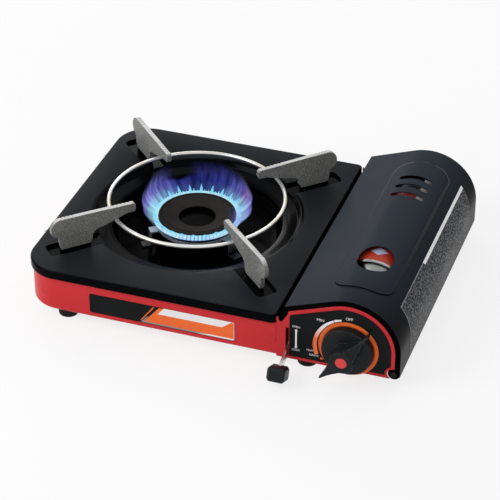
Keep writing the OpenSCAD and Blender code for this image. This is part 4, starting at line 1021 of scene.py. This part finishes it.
def foot_finish(low, height, ports):
    """The bright foot of the flame, with a darker blue mark at each port."""
    made, turn, rise, streak = glowing("flame_foot", low, height, 22.0)
    tree = made.tree
    wave = maths(tree, "SINE", maths(tree, "RADIANS", product(tree, turn, float(ports))))
    share = ramp(tree, stretch(tree, wave, -1.0, 1.0), [(0.62, 0.0), (0.95, 0.75)])
    middle = round_the_burner(tree, turn, [(262, 0.15), (280, 1.0), (302, 1.0), (318, 0.15)])
    pale = blend_colour(tree, streak, (0.30, 0.72, 0.97), (0.74, 0.96, 1.0))
    tone = blend_colour(tree, product(tree, share, middle), pale, (0.03, 0.16, 0.62))
    low_blue = ramp(tree, rise, [(0.0, 1.0), (0.34, 0.0)])
    made.feed(
        {
            "Emission Color": blend_colour(tree, low_blue, tone, (0.13, 0.22, 0.95)),
            "Alpha": ramp(tree, rise, [(0.0, 0.25), (0.3, 0.80), (0.6, 0.95), (1.0, 0.5)]),
        }
    )
    return made.material


@node_group(
    "Flame Jets",
    GEOMETRY_TREE,
    [
        ("Geometry", GEOMETRY, None),
        ("Count", INTEGER, 48),
        ("Radius", FLOAT, 0.036),
        ("Place", VECTOR, ORIGIN),
        ("Lean", FLOAT, math.radians(52)),
        ("Beat", INTEGER, 3),
        ("Short Share", FLOAT, 0.62),
        ("Seed", INTEGER, 7),
        ("Finish", MATERIAL, None),
    ],
    [("Geometry", GEOMETRY)],
)
def jet_tree(tree, given):
    """Small flames on a circle, each leaning outwards: tall ones on the beat, with seeded sizes."""
    circle = add(tree, "GeometryNodeMeshCircle", {"Vertices": given["Count"], "Radius": given["Radius"]})
    index = add(tree, "GeometryNodeInputIndex").outputs[0]
    turn = product(tree, index, maths(tree, "DIVIDE", 2 * math.pi, given["Count"]))
    angles = add(tree, "ShaderNodeCombineXYZ", {"Y": given["Lean"], "Z": turn}).outputs[0]
    limits = {2: 0.82, 3: 1.18, "Seed": given["Seed"]}
    spread = add(tree, "FunctionNodeRandomValue", limits, data_type="FLOAT").outputs[1]
    on_beat = maths(tree, "LESS_THAN", maths(tree, "FLOORED_MODULO", index, given["Beat"]), 0.5)
    size = stretch(tree, on_beat, 0.0, 1.0, given["Short Share"], 1.0)
    placed = add(
        tree,
        "GeometryNodeInstanceOnPoints",
        {
            "Points": circle.outputs["Mesh"],
            "Instance": shade_smooth(tree, given["Geometry"]),
            "Rotation": angles,
            "Scale": product(tree, size, spread),
        },
    )
    inputs = {"Geometry": placed.outputs[0], "Translation": given["Place"]}
    moved = add(tree, "GeometryNodeTransform", inputs).outputs[0]
    return finished_geometry(tree, moved, given["Finish"])


def tear_mesh(length, radius):
    """One flame tongue along +Z, widest near its foot."""
    made = bmesh.new()
    foot = made.verts.new(ORIGIN)
    tip = made.verts.new((0.0, 0.0, length))
    rows = []
    for r, z in TONGUE_PROFILE:
        rows.append([made.verts.new((x, y, z * length)) for x, y in circle_points(r * radius, TONGUE_SIDES)])
    for i in range(TONGUE_SIDES):
        made.faces.new((foot, rows[0][i], rows[0][i - 1]))
        made.faces.new((rows[-1][i - 1], rows[-1][i], tip))
        for low, high in zip(rows, rows[1:]):
            made.faces.new((low[i - 1], low[i], high[i], high[i - 1]))
    return finished_mesh(made, "tongue")


def turned_mesh(name, profile, waves):
    """A closed shape turned round the burner, whose radius swells in (size, count, phase) waves."""
    made = bmesh.new()
    turns = [2 * math.pi * i / VEIL_SIDES for i in range(VEIL_SIDES)]
    swell = [1.0 + sum(size * math.sin(count * a + phase) for size, count, phase in waves) for a in turns]
    rows = []
    for radius, height in profile:
        row = []
        for a, share in zip(turns, swell):
            r = radius * share
            row.append(made.verts.new((BURNER.x + r * math.cos(a), BURNER.y + r * math.sin(a), height)))
        rows.append(row)
    for low, high in zip(rows, rows[1:] + rows[:1]):
        for i in range(VEIL_SIDES):
            made.faces.new((low[i - 1], low[i], high[i], high[i - 1]))
    mesh = finished_mesh(made, name)
    for polygon in mesh.polygons:
        polygon.use_smooth = True
    return mesh


def make_flame():
    """The burning gas: a bright foot, jets at the ports and a pale blue body above them."""
    s = sizes()
    port = HEAD_TOP - PORT_DROP
    core = jet_finish(port, s.flame_length)
    values = {
        "Count": s.flame_count,
        "Radius": HEAD_RADIUS + JET_GAP,
        "Place": (BURNER.x, BURNER.y, port),
        "Lean": JET_LEAN,
        "Finish": core,
    }
    carrier = new_object("jets_raw", tear_mesh(s.flame_length, TONGUE_RADIUS))
    run_tree(carrier, jet_tree(), values)
    piece_from("flame_jets", settled_mesh(carrier), "stove", core)
    foot = port - FOOT_DROP
    middle = Vector((HEAD_RADIUS + FOOT_REACH, foot + FOOT_HALF_HEIGHT))
    section = circle_points(FOOT_HALF_HEIGHT, FOOT_SIDES)
    rim = [(middle.x + FOOT_WIDTH_SHARE * across, middle.y + up) for across, up in section]
    glow = foot_finish(foot, 2 * FOOT_HALF_HEIGHT, s.flame_count)
    piece_from("flame_foot", turned_mesh("flame_foot", rim, []), "stove", glow)
    outer = [(HEAD_RADIUS + across * MM, port + up * MM) for across, up in VEIL_CURVE]
    inner = [(radius - VEIL_WALL, height) for radius, height in reversed(outer)]
    body = veil_finish(port, s.flame_height)
    piece_from("flame_veil", turned_mesh("flame_veil", outer + inner, VEIL_WAVES), "stove", body)


# ---------- Printed marks ----------


def mark(name, outline, front, finish, low=0.0, high=1.0):
    """A printed mark on a front face, between two heights in print thicknesses."""
    thick = sizes().print_height
    mesh = plate_mesh(name, outline, low * thick, high * thick, facing_front(front))
    piece_from(name, mesh, "stove", finish)


def make_dial_marks():
    """Printed scale, arrow and words on the control panel."""
    white = finish_for("white_print")
    scale = coat("print_scale", scale_tone, 0.35, depth=0.002, radius=0.0001)
    mark("dial_scale", band_outline(SCALE_BANDS), PANEL_FRONT, scale)
    mark("dial_scale_low", band_outline(LOW_BANDS), PANEL_FRONT, white)
    # Two-headed arrow beside the lever's slot
    x, low, high, half = 82.1 * MM, 22.0 * MM, 42.6 * MM, 0.75 * MM
    head, tip = 1.5 * MM, 2.2 * MM
    arrow = [
        (x, low), (x + head, low + tip), (x + half, low + tip), (x + half, high - tip), (x + head, high - tip),
        (x, high), (x - head, high - tip), (x - half, high - tip), (x - half, low + tip), (x - head, low + tip),
    ]
    mark("lever_arrow", arrow, PANEL_FRONT, white)
    dot = arc_points((SPARK_DOT_RADIUS, SPARK_DOT_RADIUS), 0, 345, 23, SPARK_DOT_CENTRE)
    mark("spark_dot", dot, PANEL_FRONT, finish_for("orange_print"))
    print_words()


def print_words():
    """Plain words printed on the panel."""
    half = sizes().print_height / 2
    for word, x, z, share in WORDS:
        curve = bpy.data.curves.new("word_" + word, "FONT")
        curve.body = word
        curve.size = share * sizes().letter_height
        curve.align_x = "CENTER"
        curve.align_y = "CENTER"
        curve.extrude = half
        mesh = settled_mesh(new_object("word_raw", curve))
        mesh.transform(Matrix.Translation((x * MM, 0, z * MM)) @ facing_front(PANEL_FRONT - half))
        piece_from("word_" + word.lower(), mesh, "stove", finish_for("white_print"))


def make_badge_marks():
    """Plain stripes on the front badge, with outlines in millimetres."""
    white = finish_for("white_print")
    orange = finish_for("orange_print")
    silver = coat("print_silver", (0.22, 0.25, 0.27), 0.30, depth=0.002, radius=0.0001)

    stripes = (
        ("orange_field", orange, 0.0, 1.0,
         [(-57.3, 18.2), (25.9, 18.2), (25.9, 34.4), (24.9, 35.3), (-43.0, 35.3)]),
        ("tab", white, 1.0, 1.6, [(-38.9, 35.3), (-44.2, 28.6), (15.0, 28.6), (23.6, 35.3)]),
        ("top_rule", white, 0.0, 1.6,
         [(-38.9, 35.3), (25.0, 35.3), (26.3, 34.3), (26.3, 35.0), (25.6, 35.8), (-38.5, 35.8)]),
        ("side_rule", white, 0.0, 1.6, [(25.9, 17.6), (26.3, 18.0), (26.3, 34.3), (25.9, 34.6)]),
        ("low_rule", white, 0.0, 1.6, [(-9.0, 16.9), (25.4, 16.9), (26.3, 17.7), (25.9, 18.4), (4.0, 18.4)]),
        ("silver_rule", silver, 0.0, 0.8,
         [(-60.2, 16.9), (-9.0, 16.9), (4.0, 18.2), (-57.6, 18.2), (-53.2, 23.6), (-54.6, 23.6)]),
        ("orange_stripe", orange, 0.0, 1.0, [(-60.9, 18.5), (-59.7, 18.5), (-47.2, 35.0), (-48.6, 35.0)]),
    )
    for name, finish, low, high, points in stripes:
        outline = [(x * MM, z * MM) for x, z in points]
        mark("badge_" + name, outline, BADGE_FRONT, finish, low=low, high=high)


# ---------- Operators ----------


class STOVE_OT_case(bpy.types.Operator):
    """Case, feet and the pieces fixed inside them"""

    bl_idname = "stove.case"
    bl_label = "Case and feet"

    def execute(self, context):
        dress("body_case", "bay_partition", "plate_screws")
        # The blackened steel's paler edges are painted highlight lines
        blackened = coat("blackened_steel", (0.004, 0.004, 0.0045), 0.35, grain=900, depth=0.004, gloss=0.15,
                         edge_wear_and_highlight=(0.12, 0.12, 0.125), edge_wear_and_highlight_amount=0.5)
        skin("hinge_brackets", blackened)
        skin("hinge_pins", blackened)
        dress("foot_front_left", "foot_front_right", "foot_back_left", "foot_back_right")
        return {"FINISHED"}


class STOVE_OT_plate(bpy.types.Operator):
    """Top plate and drip bowl"""

    bl_idname = "stove.plate"
    bl_label = "Top plate and bowl"

    def execute(self, context):
        dress("top_plate", "drip_bowl")
        return {"FINISHED"}


class STOVE_OT_burner(bpy.types.Operator):
    """Burner, its gas path and its igniter"""

    bl_idname = "stove.burner"
    bl_label = "Burner and gas path"

    def execute(self, context):
        dress("burner_body", "burner_head", "mixing_tube", "air_shutter", "gas_jet", "jet_bracket")
        skin("burner_stand", coat("stand_sheet_painted_shade", stand_painted_shade, 0.42, metallic=0.8, grain=420, depth=0.004))
        dress("gas_pipe", "regulator_body", "regulator_cover", "regulator_screws", "igniter", "igniter_plunger")
        dress("ignition_lead", "electrode_holder", "electrode_pin")
        return {"FINISHED"}


class STOVE_OT_flame(bpy.types.Operator):
    """Burning gas round the head"""

    bl_idname = "stove.flame"
    bl_label = "Flame"

    def execute(self, context):
        make_flame()
        return {"FINISHED"}


class STOVE_OT_trivet(bpy.types.Operator):
    """Trivet ring and legs"""

    bl_idname = "stove.trivet"
    bl_label = "Trivet"

    def execute(self, context):
        make_ring()
        for corner in ("back_right", "back_left", "front_left", "front_right"):
            skin("trivet_leg_" + corner)
        return {"FINISHED"}


class STOVE_OT_lid(bpy.types.Operator):
    """Lid over the cartridge bay, and its plain label"""

    bl_idname = "stove.lid"
    bl_label = "Lid"

    def execute(self, context):
        # The lid's paler edges are painted highlights, and its steep faces, undersides and front band take
        # gloss black as painted shade
        satin = coat("lid_satin_painted_light", lid_tone_and_painted_light, 0.42, grain=3200, depth=0.010, rough_spread=0.04, radius=0.0008,
                     edge_wear_and_highlight=(0.06, 0.062, 0.068), edge_wear_and_highlight_amount=0.3, gloss=0.012, well=0.0, steepest=0.35,
                     tint=(0.70, 0.86, 1.0))
        label = coat("label_film", label_print, 0.40, grain=900, depth=0.003, radius=0.0001, gloss=0.05)
        skin("lid_shell", satin)
        skin("lid_label", label)
        return {"FINISHED"}


class STOVE_OT_controls(bpy.types.Operator):
    """Control panel, dial, knob and the marks on the front"""

    bl_idname = "stove.controls"
    bl_label = "Controls and marks"

    def execute(self, context):
        skin("dial_ring", finish_for("orange_dial"))
        dress("control_panel", "front_badge", "knob", "knob_cap", "valve_spindle", "igniter_cam")
        make_dial_marks()
        make_badge_marks()
        return {"FINISHED"}


class STOVE_OT_lever(bpy.types.Operator):
    """Cartridge lever with its bracket and guides"""

    bl_idname = "stove.lever"
    bl_label = "Lever"

    def execute(self, context):
        dress("lever_bracket", "lever_pin", "carriage_guides", "lever_arm", "lever_grip", "crank_pin")
        return {"FINISHED"}


class STOVE_OT_cartridge(bpy.types.Operator):
    """Gas cartridge on its carriage"""

    bl_idname = "stove.cartridge"
    bl_label = "Cartridge"

    def execute(self, context):
        dress("cartridge_carriage", "can_wall", "can_base", "can_stem")
        skin("can_dome", coat("dome_plate_painted_reflection", dome_painted_reflection, 0.26, metallic=1.0, grain=260, depth=0.003,
                              rough_spread=0.05))
        skin("can_collar", coat("collar_plate", (0.10, 0.11, 0.11), 0.30, metallic=1.0, grain=400, depth=0.003))
        return {"FINISHED"}


class STOVE_OT_stage(bpy.types.Operator):
    """Floor, light and camera"""

    bl_idname = "stove.stage"
    bl_label = "Stage"

    def execute(self, context):
        make_floor()
        make_light()
        make_camera()
        return {"FINISHED"}


# ---------- Stage ----------


def seen_directly(tree):
    """One for rays that show the background: from the camera, in a reflection or through glass."""
    path = add(tree, "ShaderNodeLightPath").outputs
    first = maths(tree, "MAXIMUM", path["Is Camera Ray"], path["Is Glossy Ray"])
    return maths(tree, "MAXIMUM", first, path["Is Transmission Ray"])


def make_floor():
    """A pale floor that stays white but keeps the object's soft shadow."""
    mesh = bpy.data.meshes.new("floor")
    corners = [(x * FLOOR_HALF, y * FLOOR_HALF, 0.0) for x, y in ((-1, -1), (1, -1), (1, 1), (-1, 1))]
    mesh.from_pydata(corners, [], [(0, 1, 2, 3)])
    floor = new_object("floor", mesh)
    white = Finish("floor_white")
    white.feed({"Base Color": FLOOR_TONE, "Roughness": 0.9, "Specular IOR Level": 0.0})
    tree = white.tree
    glow = add(tree, "ShaderNodeEmission", {"Color": (1.0, 1.0, 1.0, 1.0), "Strength": 1.0}).outputs[0]
    share = product(tree, seen_directly(tree), FLOOR_GLOW)
    mix = add(tree, "ShaderNodeMixShader", {0: share, 1: white.shader.outputs[0], 2: glow})
    tree.links.new(mix.outputs[0], tree.nodes["Material Output"].inputs["Surface"])
    mesh.materials.append(white.material)


def area_light(name, place, size, power):
    """A soft square lamp that looks at the stove."""
    lamp = bpy.data.lights.new(name, "AREA")
    lamp.shape = "SQUARE"
    lamp.size = size
    lamp.energy = power
    made = new_object(name, lamp)
    made.location = place
    made.rotation_mode = "QUATERNION"
    made.rotation_quaternion = (LAMP_TARGET - Vector(place)).to_track_quat("-Z", "Y")


def make_light():
    """Plain soft studio light, brighter from the left and above."""
    for lamp in LAMPS:
        area_light(*lamp)
    world = bpy.data.worlds.new("studio")
    bpy.context.scene.world = world
    world.use_nodes = True
    tree = world.node_tree
    dim = tree.nodes["Background"]
    dim.inputs["Color"].default_value = (1.0, 1.0, 1.0, 1.0)
    dim.inputs["Strength"].default_value = WORLD_LIGHT
    bright = add(tree, "ShaderNodeBackground", {"Color": (1.0, 1.0, 1.0, 1.0), "Strength": 1.0})
    mix = add(tree, "ShaderNodeMixShader", {0: seen_directly(tree), 1: dim.outputs[0], 2: bright.outputs[0]})
    tree.links.new(mix.outputs[0], tree.nodes["World Output"].inputs["Surface"])


def make_camera():
    """The camera, level, at the viewing angle that shows the burner and the controls."""
    data = bpy.data.cameras.new("camera")
    camera = new_object("camera", data)
    across = math.cos(CAMERA_PITCH)
    back = Vector((math.sin(CAMERA_TURN) * across, -math.cos(CAMERA_TURN) * across, math.sin(CAMERA_PITCH)))
    camera.location = CAMERA_PLACE
    camera.rotation_mode = "QUATERNION"
    camera.rotation_quaternion = (-back).to_track_quat("-Z", "Y")
    data.sensor_width = 36.0
    data.lens = CAMERA_LENS
    data.clip_end = 50.0
    bpy.context.scene.camera = camera
    bpy.context.scene.view_settings.view_transform = "Standard"


# ---------- Panel and registration ----------

STEPS = (
    STOVE_OT_case,
    STOVE_OT_plate,
    STOVE_OT_burner,
    STOVE_OT_flame,
    STOVE_OT_trivet,
    STOVE_OT_lid,
    STOVE_OT_controls,
    STOVE_OT_lever,
    STOVE_OT_cartridge,
    STOVE_OT_stage,
)


class STOVE_PT_panel(bpy.types.Panel):
    """Settings and steps of the stove"""

    bl_idname = "STOVE_PT_panel"
    bl_label = "Cassette Stove"
    bl_space_type = "VIEW_3D"
    bl_region_type = "UI"
    bl_category = "Stove"

    def draw(self, context):
        layout = self.layout
        for settings in (context.scene.stove_sizes, context.scene.stove_colours):
            box = layout.box()
            for key in settings.__annotations__:
                box.prop(settings, key)
        for step in STEPS:
            layout.operator(step.bl_idname)


CLASSES = (StoveSizes, StoveColours, *STEPS, STOVE_PT_panel)


def register():
    """Adds the settings, the steps and the panel."""
    for cls in CLASSES:
        bpy.utils.register_class(cls)
    bpy.types.Scene.stove_sizes = bpy.props.PointerProperty(type=StoveSizes)
    bpy.types.Scene.stove_colours = bpy.props.PointerProperty(type=StoveColours)


def unregister():
    """Takes them away again."""
    del bpy.types.Scene.stove_colours
    del bpy.types.Scene.stove_sizes
    for cls in reversed(CLASSES):
        bpy.utils.unregister_class(cls)


def main():
    """Builds every piece and the stage, and notes the two boxes."""
    register()
    for step in STEPS:
        group, name = step.bl_idname.split(".")
        getattr(getattr(bpy.ops, group), name)()


if __name__ == "__main__":
    main()
